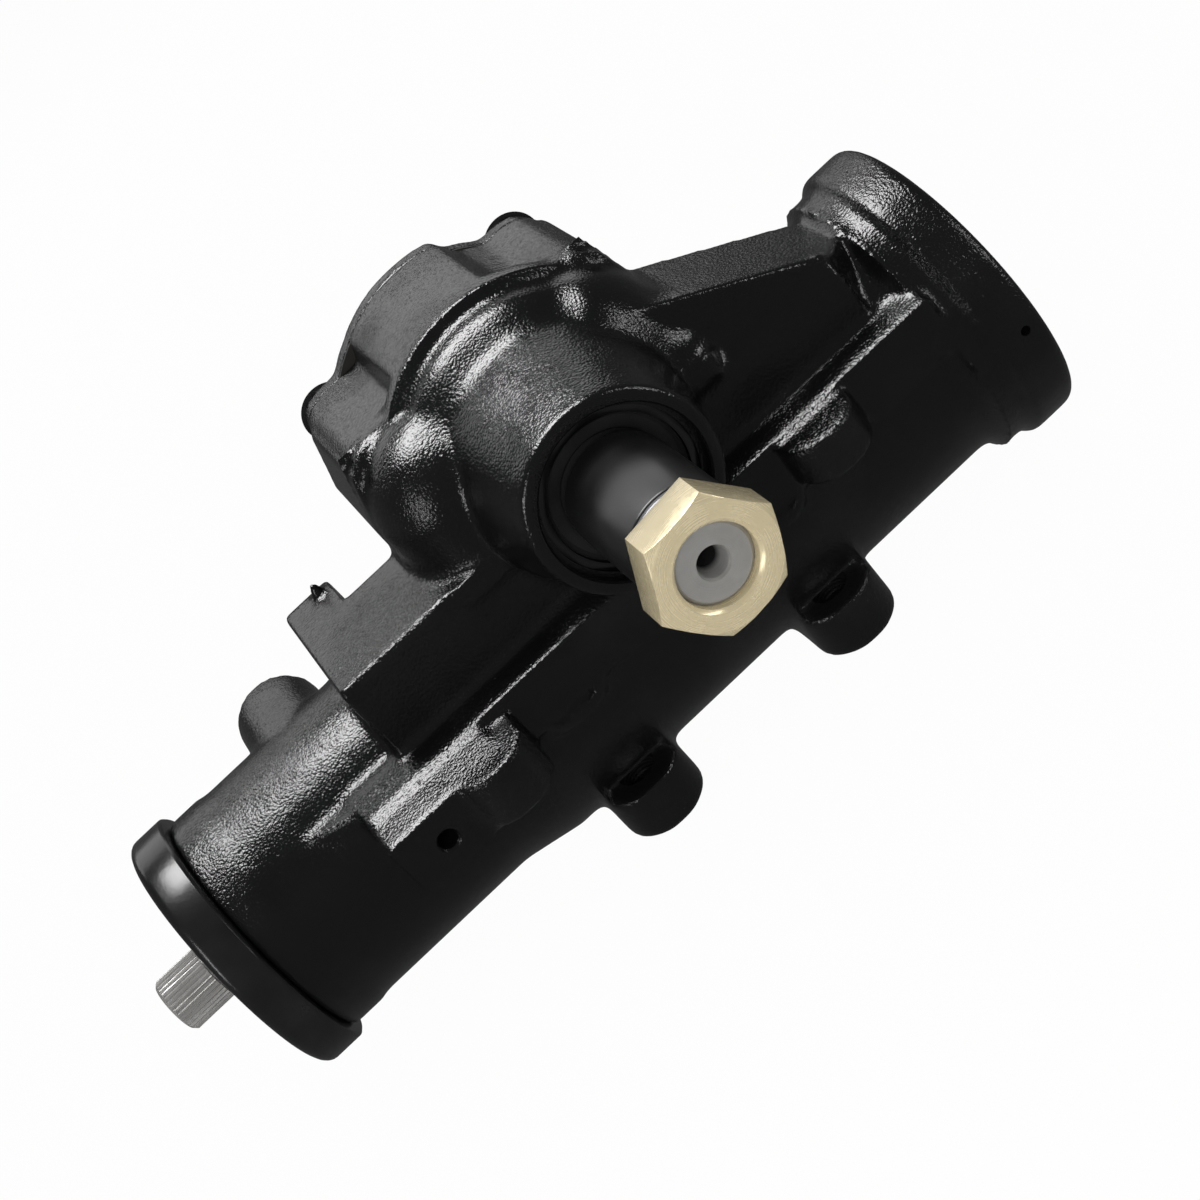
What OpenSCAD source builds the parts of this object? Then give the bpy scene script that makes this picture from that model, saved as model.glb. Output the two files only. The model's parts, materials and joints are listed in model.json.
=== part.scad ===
// Integral power steering gearbox: recirculating-ball worm, rack piston and sector shaft
// Origin at the middle of the four frame bolts on the mounting face
// +X runs along the worm to the end plug, and the pitman shaft points to -Y

/* [Frame mounting] */
// Spacing of the frame bolts along the gear
lug_pitch_x = 85; // [76:1:92]
// Spacing of the frame bolts across the gear
lug_pitch_y = 78; // [76:1:86]
// Radius of a mounting lug
lug_r = 15; // [13:0.5:17]
// Thickness of a mounting lug
lug_t = 18; // [12:1:22]
// Radius of the tapped hole for a frame bolt
lug_hole_r = 6; // [4:0.25:7]
// Height of the worm axis over the mounting face
axis_h = 48; // [47.5:0.5:56]
// Distance of the sector axis from the middle of the frame bolts
sector_x = 10; // [4:1:16]

/* [Barrel] */
// Outer radius of the barrel over the piston
barrel_r = 47.5; // [45:0.5:47.5]
// Outer radius of the valve end of the barrel
neck_r = 43.5; // [41:0.5:46]
// Radius of the end plug
end_plug_r = 48; // [46:0.5:49]
// Thickness of the end plug
end_plug_t = 16; // [12:0.5:18]
// Depth of the end plug's retaining ring under the flange face
end_lip = 6; // [4:0.5:8]
// Wall of the end flange round the end plug
flange_wall = 8; // [7:0.5:12]
// Wall of the bead behind the end flange
bead_wall = 4.5; // [4:0.5:6]

/* [Rack piston] */
// Radius of the rack piston
piston_r = 38; // [36:0.5:39]
// Length of the rack piston
piston_l = 138; // [132:1:146]
// Length of the piston ahead of the sector axis
piston_ahead = 52; // [50:1:56]
// Radius of the ball path round the worm
ball_path_r = 13; // [12.5:0.25:14]
// Diameter of a bearing ball
ball_d = 6.35; // [5.5:0.05:6.5]
// Number of balls in the nut
ball_count = 31; // [25:1:33]

/* [Sector gear] */
// Distance from the worm axis to the sector axis
centre_d = 64; // [62:0.5:68]
// Module of the rack and sector teeth
tooth_m = 7; // [6.6:0.1:7.2]
// Teeth on a full circle of the sector
teeth_round = 10; // [10:1:11]
// Swing of the sector to each side in degrees
sector_swing = 40; // [30:1:40]
// Turns ratio from the input shaft to the sector
steer_ratio = 14; // [12:0.5:16]
// Face width of the sector
sector_w = 31; // [26:1:33]
// Radius of the sector shaft in its bearing
journal_r = 17.5; // [16:0.25:18]

/* [Sector housing] */
// Crest radius of the sector housing
crest_r = 53; // [51:0.5:56]
// Length of the pitman boss ahead of its shoulder
boss_l = 56; // [52:1:62]
// Radius of the pitman boss at its face
boss_r = 32; // [31:0.5:35]
// Thickness of the side cover
cover_t = 8; // [7:0.5:12]
// Corner radius round a side-cover bolt
lobe_r = 10.5; // [9:0.5:12]
// Sideways spacing of the side-cover bolts
cover_pitch_x = 82; // [81:1:88]
// Upright spacing of the side-cover bolts
cover_pitch_z = 57; // [56:1:64]
// Radius of a side-cover bolt
cover_bolt_r = 4; // [3:0.5:4.5]

/* [Pitman end] */
// Reach of the pitman shaft past the boss face
pitman_reach = 67; // [60:1:72]
// Radius of the protective sleeve over the splines
sleeve_r = 18.2; // [17.5:0.1:20]
// Width across flats of the pitman nut
nut_af = 38.1; // [34:0.1:42]
// Thickness of the pitman nut
nut_t = 15; // [12:0.5:18]
// Radius of the thread under the pitman nut
pitman_thread_r = 12.5; // [11:0.25:13]
// Turn of the nut's first corner from +X
nut_turn = 66; // [0:1:90]

/* [Input end] */
// Length of the rotary valve sleeve
valve_l = 42; // [38:1:48]
// Radius of the rotary valve sleeve
valve_r = 27; // [26:0.5:29]
// Length of the adjuster plug's thread in the housing
plug_hold = 33.5; // [28:0.5:36]
// Radius of the adjuster plug
plug_r = 36; // [33:0.5:37.5]
// Outer radius of the adjuster locknut
cap_r = 48; // [44:0.5:50]
// Thickness of the adjuster locknut
cap_t = 14.5; // [12:0.5:17]
// Radius over the serrations of the input shaft
stub_r = 10.3; // [9.5:0.1:11]
// Reach of the input shaft past the locknut
stub_reach = 24.5; // [20:0.5:32]
// Number of serrations on the input shaft
serrations = 36; // [24:1:40]

/* [Saddles and pads] */
// Reach of the saddle's near wall from the worm axis
wall_reach = 37; // [35:0.5:40]
// Height of the left saddle over the worm axis
saddle_h = 61; // [58:0.5:63]
// Height of the right saddle over the worm axis
block_h = 57.5; // [53:0.5:60]
// Reach of the side rib from the worm axis
rib_reach = 50; // [49:0.5:54]
// Reach of the clamping pads from the worm axis
pad_reach = 65; // [60:0.5:68]
// Height of the side rib's top over the worm axis
rib_top = 31; // [28:0.5:33]
// Height of the side rib's bottom over the worm axis
rib_low = 10; // [6:0.5:12]

/* [Hydraulic ports] */
// Radius of a port boss
port_r = 15.5; // [14:0.5:17]
// Radius of the tapped port
port_hole_r = 8; // [6:0.25:9]
// Depth of the tapped port
port_depth = 12; // [10:0.5:14]
// Distance of the port faces from the worm axis
port_reach = 47; // [46:1:54]

/* [Fits] */
// Radial running clearance
run_fit = 0.05; // [0.02:0.01:0.08]
// Gap between pieces that pass each other
gap = 0.4; // [0.3:0.05:0.6]

/* [Hidden] */
$fn = 64;

// Cuts run past their faces by this much
over = 1;
// Radial play of a thread drawn as a plain cylinder
thread_fit = 0.03;

// Tooth sizes
pitch_r = tooth_m * teeth_round / 2;
rack_line = centre_d - pitch_r;
tooth_pitch = PI * tooth_m;
addendum = 0.72 * tooth_m;
sector_dedendum = 0.87 * tooth_m;
rack_dedendum = 0.92 * tooth_m;
pressure_angle = 25;
backlash = 0.2;
tip_r = pitch_r + addendum;
root_r = pitch_r - sector_dedendum;
base_r = pitch_r * cos(pressure_angle);
rack_tip = rack_line + addendum;
rack_root = rack_line - rack_dedendum;
travel = pitch_r * sector_swing * PI / 180;
worm_lead = 2 * PI * pitch_r / steer_ratio;

// Stations along the worm, measured from the sector axis
stop_gap = 1;
wall_t = 9;
thrust_t = 3.5;
head_t = 7;
piston_x0 = -piston_ahead;
piston_x1 = piston_l - piston_ahead;
bore_x0 = piston_x0 - travel - stop_gap;
bore_x1 = piston_x1 + travel + stop_gap;
wall_x0 = bore_x0 - wall_t;
wall_hole_r = ball_path_r + 3;
head_x1 = wall_x0 - thrust_t;
head_x0 = head_x1 - head_t;
valve_x1 = head_x0;
valve_x0 = valve_x1 - valve_l;
plug_x1 = valve_x0 - thrust_t;
neck_x = plug_x1 - plug_hold;
cap_x = neck_x - cap_t;
stub_x = cap_x - stub_reach;
worm_short = 9;
worm_x1 = piston_x1 - travel - worm_short;

// End flange, its bead and the ring that holds the end plug
flange_r = end_plug_r + flange_wall;
bead_r = end_plug_r + bead_wall;
ring_t = 3;
ring_hold = 2;
ring_x0 = bore_x1 + end_plug_t;
flange_x1 = ring_x0 + ring_t + end_lip;
flange_t = 18;
bead_t = 7;
bead_gap = 1.5;
bead_x1 = flange_x1 - flange_t - bead_gap;
bead_x0 = bead_x1 - bead_t;
o_ring_r = 1.5;
o_groove_w = 4;
o_groove_x = bore_x1 + end_plug_t / 2;

// Stations along the sector shaft
sector_y0 = -5;
sector_y1 = sector_y0 + sector_w;
chamber_gap = 2;
chamber_y0 = sector_y0 - chamber_gap;
chamber_r = tip_r + 0.9;
shoulder_t = 8;
shoulder_y = chamber_y0 - shoulder_t;
boss_y = shoulder_y - boss_l;
cover_space = 20;
cover_y = sector_y1 + cover_space;
body_drop = 5;
body_r = crest_r - body_drop;

// Side cover with its hub, bush and lash screw
gasket_t = 0.8;
cover_y0 = cover_y + gasket_t;
cover_y1 = cover_y0 + cover_t;
cover_inset = 1;
cover_land = 9;
hub_h = 21;
hub_r = 25;
hub_roof = 7;
hub_y1 = cover_y1 + hub_h;
bush_l = 19;
bush_t = 3;
bush_y0 = cover_y0 + 1;
trunnion_r = 14;
trunnion_gap = 9;
trunnion_y = hub_y1 - trunnion_gap;
lash_r = 6;
lash_reach = 16;
lash_head_r = 9;
lash_head_t = 4;
lash_lip = 2.5;
lash_y0 = trunnion_y - lash_lip - lash_head_t;
lash_play = 0.1;

// Pitman nut, washer, bearing and seals
nut_y = boss_y - pitman_reach;
nut_y1 = nut_y + nut_t;
washer_t = 4;
sleeve_y0 = nut_y1 + washer_t;
bearing_w = 31;
bearing_set = 4;
bearing_y1 = chamber_y0 - bearing_set;
bearing_y0 = bearing_y1 - bearing_w;
needle_r = 1.5;
needle_path = journal_r + run_fit + needle_r;
cup_in = needle_path + needle_r + run_fit;
cup_t = 2;
cup_out = cup_in + cup_t;
seal_step = 3;
seal_bore = cup_out + seal_step;
mouth_step = 1.7;
mouth_r = seal_bore + mouth_step;
seal_gap = 2;
seal_y1 = bearing_y0 - seal_gap;
seal_w = 8;
seal_washer_t = 2;
snap_t = 2.2;
snap_set = 3;
snap_y = boss_y + snap_set;
snap_depth = 1.2;

// The cover sits a little towards the valve end
cover_shift = -4;
bolt_places = [for (i = [-1, 1], k = [-1, 1])
    [cover_shift + i * cover_pitch_x / 2, centre_d + k * cover_pitch_z / 2]];
bolt_hold = 22;
bolt_flange_r = 2.6 * cover_bolt_r;
lug_places = [for (i = [-1, 1], k = [-1, 1]) [i * lug_pitch_x / 2 - sector_x, k * lug_pitch_y / 2]];
mount_z = -axis_h;

// Ports, with a tube seat under each thread
port_set = 11.34;
port_x = valve_x0 + port_set;
port_z = [valve_r, -12];
port_drill_z = [valve_r - 5, -12];
port_drill_r = 4;
seat_r = port_hole_r - 1.5;
seat_depth = 8;
seat_foot = 3;
port_floor = port_reach - port_depth - seat_depth;

// Adjuster plug
stub_bearing_r = stub_r + 3;
stub_bearing_l = 16;
seal_in_r = stub_r + 6;
seal_floor = 22;
plug_face = cap_x + 2;
plug_neck = 1;

// Rotary valve
bar_r = 3.6;
bar_bore = bar_r + gap;
spool_r = valve_r - 12;
tang_r = 7;
tang_l = 9;
valve_slots = 6;
slot_w = 4;
slot_end = 9;
drive_pin_r = 2;
drive_pin_l = 6;
valve_ring_w = 2.4;
valve_ring_d = 2;
valve_grooves = [for (i = [0:3]) valve_x0 + valve_l * (0.14 + 0.24 * i)];
bar_head_l = 9;
bar_set = 5;
bar_short = 10;

// Ball nut
groove_r = ball_d / 2 + gap;
worm_r = ball_path_r - 0.6;
nut_r = ball_path_r + 0.8;
plug_in_r = nut_r + 5;
plug_in_l = 6;
ring_groove_x = piston_x1 - 11;
ring_groove_w = 4;
ring_groove_d = 3;
guide_span = worm_lead * 2.5;
guide_depth = 12;
guide_z = guide_depth - piston_r;
guide_tube_r = ball_d / 2 + 0.8;
guide_pocket_w = 28;
clamp_t = 2 * guide_tube_r + 1.2;
clamp_w = 24;
clamp_l = 20;
clamp_screw_y = 7.5;
clamp_screw_r = 1.95;

// Points on a circle, of an arc and of a rectangle with round corners
function polar(r, a) = [r * cos(a), r * sin(a)];
function arc(cx, cy, r, a0, a1, n = 8) =
    [for (i = [0:n]) [cx, cy] + polar(r, a0 + (a1 - a0) * i / n)];
function round_rect(x0, y0, x1, y1, r) = concat(
    arc(x1 - r, y1 - r, r, 0, 90, 4), arc(x0 + r, y1 - r, r, 90, 180, 4),
    arc(x0 + r, y0 + r, r, 180, 270, 4), arc(x1 - r, y0 + r, r, 270, 360, 4));

// An outline about the sector axis, raised to its place over the worm axis
function raised(points) = [for (p = points) p + [0, centre_d]];

// The gear is drawn about the sector axis and the worm axis, then set over its mounting face
module placed() { translate([sector_x, 0, axis_h]) children(); }

// A profile of [radius, x] turned about the worm axis
module turned_x(points) { rotate([0, 90, 0]) rotate_extrude($fn = 96) polygon(points); }
module rod_x(r, x0, x1) { translate([x0, 0, 0]) rotate([0, 90, 0]) cylinder(r = r, h = x1 - x0); }
module ring_x(r0, r1, x0, x1) { turned_x([[r0, x0], [r1, x0], [r1, x1], [r0, x1]]); }

// A profile of [radius, y] turned about the sector axis
module turned_y(points) {
    translate([0, 0, centre_d]) rotate([-90, 0, 0]) rotate_extrude($fn = 96) polygon(points);
}
module rod_y(r, y0, y1) {
    translate([0, y0, centre_d]) rotate([-90, 0, 0]) cylinder(r = r, h = y1 - y0);
}
module ring_y(r0, r1, y0, y1) { turned_y([[r0, y0], [r1, y0], [r1, y1], [r0, y1]]); }

// A hole or stud along +Y from a point
module drill_y(x, y0, z, r, l) { translate([x, y0, z]) rotate([-90, 0, 0]) cylinder(r = r, h = l); }

// Outlines pushed along one axis
module slab_x(points, x0, x1) {
    translate([x0, 0, 0]) rotate([90, 0, 90]) linear_extrude(x1 - x0) polygon(points);
}
module slab_y(points, y0, y1) {
    translate([0, y1, 0]) rotate([90, 0, 0]) linear_extrude(y1 - y0) polygon(points);
}
module slab_z(points, z0, z1) { translate([0, 0, z0]) linear_extrude(z1 - z0) polygon(points); }

// Barrel with its neck, bead and end flange
module barrel() {
    band_l = 13;
    band_h = 0.8;
    cone_l = 21;
    root = 6.5;
    bead_edge = 2.5;
    rim = 3;
    turned_x(concat(
        [[0, neck_x], [neck_r + band_h, neck_x], [neck_r + band_h, neck_x + band_l],
            [neck_r, neck_x + band_l + band_h], [neck_r, bore_x0 - cone_l], [barrel_r, bore_x0],
            [barrel_r, bead_x0 - root - 1.5]],
        arc(barrel_r + root, bead_x0 - root, root, 180, 90, 4),
        arc(bead_r - bead_edge, bead_x0 + bead_edge, bead_edge, -90, 0, 4),
        [[bead_r, bead_x1], [bead_r - 1, bead_x1 + bead_gap]],
        arc(flange_r - rim, flange_x1 - flange_t + rim, rim, -60, 0, 4),
        arc(flange_r - rim, flange_x1 - rim, rim, 0, 90, 4),
        [[0, flange_x1]]));
}

// Pitman boss with draft and a concave root
module boss() {
    root = 7;
    flare = 6;
    edge = 0.8;
    sink = 4;
    root_r0 = boss_r + flare + root;
    turned_y(concat([[0, boss_y], [boss_r - edge, boss_y], [boss_r, boss_y + edge]],
        arc(root_r0, shoulder_y - root, root, 180, 90, 5),
        [[root_r0, shoulder_y + sink], [0, shoulder_y + sink]]));
}

// Outline of the sector housing at its cover: a block round the bolts
module lobe_block(y0, y1, inset = 0) {
    half_x = cover_pitch_x / 2 + lobe_r - inset;
    half_z = cover_pitch_z / 2 + lobe_r - inset;
    slab_y(round_rect(cover_shift - half_x, centre_d - half_z, cover_shift + half_x, centre_d + half_z,
        lobe_r - inset), y0, y1);
}

// Raised crest over the sector, sloping into the valleys beside it
module crest(y0, y1, inset = 0) {
    half = 23;
    slope = 9;
    mid = 96;
    foot_r = body_r - inset - 1;
    slab_y(raised(concat([[0, 0], polar(foot_r, mid + half + slope)],
        arc(0, 0, crest_r - inset, mid + half, mid - half, 8), [polar(foot_r, mid - half - slope)])), y0, y1);
}

module cover_outline(y0, y1, inset) {
    lobe_block(y0, y1, inset);
    translate([cover_shift, 0, 0]) rod_y(chamber_r + cover_land, y0, y1);
    crest(y0, y1, inset);
}

// Profile with its two front corners rounded, from y0 back to y1
function round_front(y0, y1, w0, w1, r) = concat([[y1, w0]], [[y1, w1]],
    arc(y0 + r, w1 - r, r, 90, 180, 6), arc(y0 + r, w0 + r, r, 180, 270, 6));

// Upper body round the sector with rounded lobes and a crest
module sector_body() {
    soft = 7;
    lobe_soft = 9;
    crest_soft = 6;
    lobe_y = shoulder_y + 6;
    crest_y = shoulder_y + 9;
    low_z = centre_d - cover_pitch_z / 2 - lobe_r;
    high_z = centre_d + cover_pitch_z / 2 + lobe_r;
    low_x = cover_shift - cover_pitch_x / 2 - lobe_r;
    high_x = cover_shift + cover_pitch_x / 2 + lobe_r;
    intersection() {
        lobe_block(lobe_y, cover_y);
        slab_x(round_front(lobe_y - over, cover_y + over, low_z - over, high_z + over, lobe_soft),
            low_x - over, high_x + over);
        slab_z([for (p = round_front(lobe_y - over, cover_y + over, low_x - over, high_x + over, lobe_soft))
            [p[1], p[0]]], low_z - over, high_z + over);
    }
    intersection() {
        crest(crest_y, cover_y);
        slab_x(round_front(crest_y, cover_y + over, 0, centre_d + crest_r + over, crest_soft),
            -crest_r, crest_r);
    }
    turned_y(concat([[0, shoulder_y]], arc(body_r - soft, shoulder_y + soft, soft, -90, 0, 5),
        [[body_r, cover_y], [0, cover_y]]));
}

// Columns that carry the sector body down to the walls beside the boss
module flanks() {
    half = 57;
    corner = 8;
    foot = 10;
    knee = centre_d + 15;
    brow = 19;
    low = rib_top + 18;
    top = knee + brow;
    y0 = -wall_reach - 1.5;
    y1 = cover_y - 6;
    x0 = cover_shift - half;
    x1 = cover_shift + half;
    lobe_half = cover_pitch_x / 2 + lobe_r;
    intersection() {
        slab_z([for (p = round_front(y0, y1, x0, x1, corner)) [p[1], p[0]]], low - over, top + over);
        slab_x(concat([[y1 + over, low], [y1 + over, top]], arc(y0 + brow, knee, brow, 90, 180, 8),
            [[y0, low + 5], [y0 + 3, low]]), x0 - over, x1 + over);
        slab_y(concat(arc(x1 - foot, low + foot, foot, -90, 0, 5),
            [[x1, knee], [cover_shift + lobe_half, top], [cover_shift - lobe_half, top], [x0, knee]],
            arc(x0 + foot, low + foot, foot, 180, 270, 5)), y0 - over, y1 + over);
    }
}

// Saddle on the valve side with its tower and the nub left by the casting gate
module left_saddle() {
    left_x = bore_x0 - 25.5;
    tower_l = 19;
    tower_y = 35;
    tower_soft = 6;
    back_y = 13;
    back_soft = 4;
    edge = 1.5;
    nub_h = 5;
    nub_in = 4.5;
    slab_x(concat([[0, 0], [back_y, 0]], arc(back_y - back_soft, saddle_h - back_soft, back_soft, 0, 90, 4),
        arc(edge - wall_reach, saddle_h - edge, edge, 90, 180, 3),
        [[-wall_reach, rib_top - 3], [0, rib_low]]),
        left_x, 0);
    slab_x(concat([[0, 0], [tower_y, 0]],
        arc(tower_y - tower_soft, saddle_h - tower_soft, tower_soft, 0, 90, 4), [[0, saddle_h]]),
        left_x, left_x + tower_l);
    translate([left_x + tower_l - nub_in, tower_y - tower_soft - nub_in, saddle_h - 1])
        cylinder(r1 = 3.2, r2 = 1.3, h = nub_h + 1);
}

// Saddle on the plug side with a rounded ledge, and the sloped web above it
module right_saddle() {
    right_x = bead_x0 - 12.5;
    ledge = 11.5;
    web_y0 = 5.5 - wall_reach;
    wall_back = web_y0 + 2;
    lean = acos((wall_back + wall_reach - ledge) / ledge);
    web_back = 8;
    web_cut = 20;
    web_x0 = crest_r + 1;
    web_x1 = bead_x0 + 3;
    web_z0 = centre_d + 14.5;
    web_slope = 0.545;
    web_root = 16;
    slab_x(concat([[wall_back, rib_low]], arc(ledge - wall_reach, block_h - ledge, ledge, lean, 180, 5),
        [[-wall_reach, rib_top - 3]]), 0, right_x);
    intersection() {
        slab_y([[web_x0 - web_root, 0], [web_x1, 0], [web_x1, web_z0 - web_slope * (web_x1 - web_x0)],
            [web_x0 - web_root, web_z0 + web_slope * web_root]], web_y0, web_back);
        slab_z([[0, web_y0], [right_x + 2, web_y0], [web_x1, web_y0 + web_cut], [web_x1, web_back],
            [0, web_back]], 0, centre_d + crest_r);
    }
}

// Side rib with its clamping pads and their round ends
module side_rib() {
    left_x = bore_x0 - 47;
    pad_l = 46;
    pad_top = rib_top - 5.5;
    pad_low = rib_low - 5;
    end_r = 14;
    end_x = left_x + 41;
    end_out = 8;
    end_low = pad_low + 2;
    far_x = crest_r + 6;
    far_low = rib_low + 2.7;
    far_h = rib_top - rib_low - 6;
    wedge_l = 20;
    slab_x([[0, rib_low], [-rib_reach, rib_low], [-rib_reach, rib_top - 1.5], [-wall_reach, rib_top],
        [0, rib_top]], left_x, bead_x0 + 2);
    slab_x([[0, pad_low], [-pad_reach, pad_low], [-pad_reach, pad_top], [-wall_reach, rib_top], [0, rib_top]],
        left_x, left_x + pad_l);
    slab_z([[left_x - wedge_l, -20], [left_x - wedge_l, 11 - neck_r], [left_x + 1, 22 - pad_reach],
        [left_x + 1, -20]], rib_low, rib_top - 1);
    translate([end_x, end_r - pad_reach - end_out, end_low]) cylinder(r = end_r, h = pad_top - end_low);
    translate([end_x, 1 - pad_reach, end_low]) cube([end_r, pad_reach - rib_reach + 5, pad_top - end_low]);
    translate([far_x, end_r - pad_reach - 1, far_low]) cylinder(r = end_r, h = far_h);
    translate([far_x - end_r, end_r - pad_reach - 1, far_low]) cube([2 * end_r, 10, far_h]);
}

// Columns down to the four mounting lugs, with a broken edge round each foot
module lugs() {
    foot = 1.2;
    top = axis_h + rib_low;
    for (p = lug_places) translate([p[0], p[1], mount_z]) {
        cylinder(r1 = lug_r - foot, r2 = lug_r, h = foot);
        translate([0, 0, foot]) cylinder(r = lug_r, h = top - foot);
        translate([-lug_r, p[1] > 0 ? -p[1] : 0, foot]) cube([2 * lug_r, abs(p[1]), top - foot]);
    }
}

// Clear space over each lug for the bolt, open to the side
module lug_scoops() {
    scoop_r = lug_r - 2;
    scoop_h = axis_h + rib_low - 5 - lug_t;
    for (p = lug_places) translate([p[0], p[1], mount_z + lug_t]) {
        cylinder(r = scoop_r, h = scoop_h);
        translate([-scoop_r, p[1] > 0 ? 0 : -2 * lug_r, 0]) cube([2 * scoop_r, 2 * lug_r, scoop_h]);
    }
}

module lug_holes() {
    for (p = lug_places) translate([p[0], p[1], mount_z - over])
        cylinder(r = lug_hole_r, h = lug_t + 2 * over);
}

module port_bosses() {
    for (z = port_z) drill_y(port_x, 0, z, port_r, port_reach);
}

module port_bores() {
    for (i = [0, 1]) {
        drill_y(port_x, port_reach - port_depth, port_z[i], port_hole_r, port_depth + over);
        drill_y(port_x, port_floor, port_z[i], seat_r, seat_depth + over);
        drill_y(port_x, 0, port_drill_z[i], port_drill_r, port_floor + over);
    }
}

// Bores along the worm, and the punch hole that frees the retaining ring
module worm_bores() {
    punch_r = 1.7;
    rod_x(plug_r + gap / 2, neck_x - over, plug_x1);
    rod_x(valve_r + run_fit, plug_x1 - over, wall_x0);
    rod_x(wall_hole_r, wall_x0 - over, bore_x0 + over);
    rod_x(piston_r + run_fit, bore_x0, bore_x1 + over);
    rod_x(end_plug_r + run_fit, bore_x1, flange_x1 + over);
    rod_x(end_plug_r + ring_hold, ring_x0, ring_x0 + ring_t);
    drill_y(ring_x0 + ring_t / 2, -flange_r - over, 0, punch_r, flange_r + over);
}

// Bores along the sector shaft
module sector_bores() {
    rod_y(chamber_r, chamber_y0, cover_y + over);
    rod_y(cup_out, bearing_y0, chamber_y0 + over);
    rod_y(seal_bore, boss_y - over, bearing_y0);
    rod_y(mouth_r, boss_y - over, snap_y - 0.5);
    rod_y(seal_bore + snap_depth, snap_y, snap_y + snap_t);
}

// Tapped holes for the side-cover bolts, and for a bracket on the near pad
module tapped_holes() {
    bolt_depth = 26;
    bracket_r = 3.3;
    bracket_depth = 12;
    bracket_x = bore_x0 - 31;
    bracket_z = rib_low + 4.8;
    for (p = bolt_places) drill_y(p[0], cover_y - bolt_depth, p[1], cover_bolt_r + 0.1, bolt_depth + over);
    drill_y(bracket_x, -pad_reach - over, bracket_z, bracket_r, bracket_depth + over);
}

module housing() {
    color([0.06, 0.06, 0.065]) placed() difference() {
        union() {
            barrel();
            boss();
            sector_body();
            flanks();
            left_saddle();
            right_saddle();
            difference() {
                union() {
                    side_rib();
                    lugs();
                }
                lug_scoops();
            }
            port_bosses();
        }
        worm_bores();
        sector_bores();
        lug_holes();
        port_bores();
        tapped_holes();
    }
}

module cover_bolt_holes(y0, y1) {
    for (p = bolt_places) drill_y(p[0], y0 - over, p[1], cover_bolt_r + 0.3, y1 - y0 + 2 * over);
}

// Ribs that brace the cover's hub towards its bolts
module cover_ribs() {
    rib_half = 3.5;
    rib_drop = 8;
    for (p = bolt_places) {
        reach = norm(p - [0, centre_d]) - bolt_flange_r - 1.5;
        turn = atan2(p[1] - centre_d, p[0]);
        translate([0, 0, centre_d]) rotate([0, -turn, 0])
            slab_z([[hub_r - 3, cover_y1 - 1], [reach, cover_y1 - 1], [reach, cover_y1 + 0.8],
                [hub_r - 3, hub_y1 - rib_drop]], -rib_half, rib_half);
    }
}

module side_cover() {
    root = 4;
    root_h = 6;
    edge = 3;
    color([0.09, 0.09, 0.095]) placed() difference() {
        union() {
            cover_outline(cover_y0, cover_y1, cover_inset);
            turned_y([[0, cover_y1 - 1], [hub_r + root, cover_y1 - 1], [hub_r, cover_y1 + root_h],
                [hub_r, hub_y1 - edge], [hub_r - edge, hub_y1], [0, hub_y1]]);
            cover_ribs();
        }
        cover_bolt_holes(cover_y0, cover_y1);
        rod_y(trunnion_r + bush_t, cover_y0 - over, hub_y1 - hub_roof);
        rod_y(lash_r + thread_fit, hub_y1 - hub_roof - over, hub_y1 + over);
    }
}

module side_cover_gasket() {
    color([0.55, 0.5, 0.42]) placed() difference() {
        cover_outline(cover_y, cover_y0, cover_inset);
        cover_bolt_holes(cover_y, cover_y0);
        rod_y(chamber_r, cover_y - over, cover_y0 + over);
    }
}

module side_cover_bolts() {
    hex_h = 6.5;
    washer_h = 1.6;
    color([0.15, 0.15, 0.16]) placed() for (p = bolt_places) {
        drill_y(p[0], cover_y - bolt_hold, p[1], cover_bolt_r, cover_y1 - cover_y + bolt_hold);
        drill_y(p[0], cover_y1, p[1], bolt_flange_r, washer_h);
        translate([p[0], cover_y1 + washer_h, p[1]]) rotate([-90, 0, 0])
            cylinder(r = 1.75 * cover_bolt_r, h = hex_h, $fn = 6);
    }
}

module sector_bush() {
    color([0.72, 0.53, 0.3]) placed()
        ring_y(trunnion_r + run_fit, trunnion_r + bush_t, bush_y0, bush_y0 + bush_l);
}

module lash_adjuster_screw() {
    key_r = 3.2;
    key_depth = 4;
    end_y = hub_y1 + lash_reach;
    color([0.6, 0.6, 0.62]) placed() difference() {
        union() {
            rod_y(lash_r, lash_y0 + 1, end_y);
            rod_y(lash_head_r, lash_y0, lash_y0 + lash_head_t);
        }
        translate([0, end_y - key_depth, centre_d]) rotate([-90, 0, 0])
            cylinder(r = key_r, h = key_depth + over, $fn = 6);
    }
}

module lash_locknut() {
    nut_h = 8;
    color([0.62, 0.62, 0.64]) placed() difference() {
        translate([0, hub_y1, centre_d]) rotate([-90, 0, 0]) cylinder(r = lash_r + 5, h = nut_h, $fn = 6);
        rod_y(lash_r + thread_fit, hub_y1 - over, hub_y1 + nut_h + over);
    }
}

module sector_bearing_cup() {
    lip_t = 1;
    lip_r = journal_r + 1;
    color([0.7, 0.7, 0.72]) placed()
        turned_y([[cup_in, bearing_y0 + lip_t], [lip_r, bearing_y0 + lip_t], [lip_r, bearing_y0],
            [cup_out, bearing_y0], [cup_out, bearing_y1], [cup_in, bearing_y1]]);
}

module sector_needles() {
    space = 0.4;
    inset = 2;
    n = floor(2 * PI * needle_path / (2 * needle_r + space));
    color([0.75, 0.75, 0.77]) placed() for (i = [0:n - 1]) {
        spot = polar(needle_path, 360 * i / n);
        translate([spot[0], bearing_y0 + inset, centre_d + spot[1]]) rotate([-90, 0, 0])
            cylinder(r = needle_r, h = bearing_w - 2 * inset, $fn = 16);
    }
}

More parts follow.
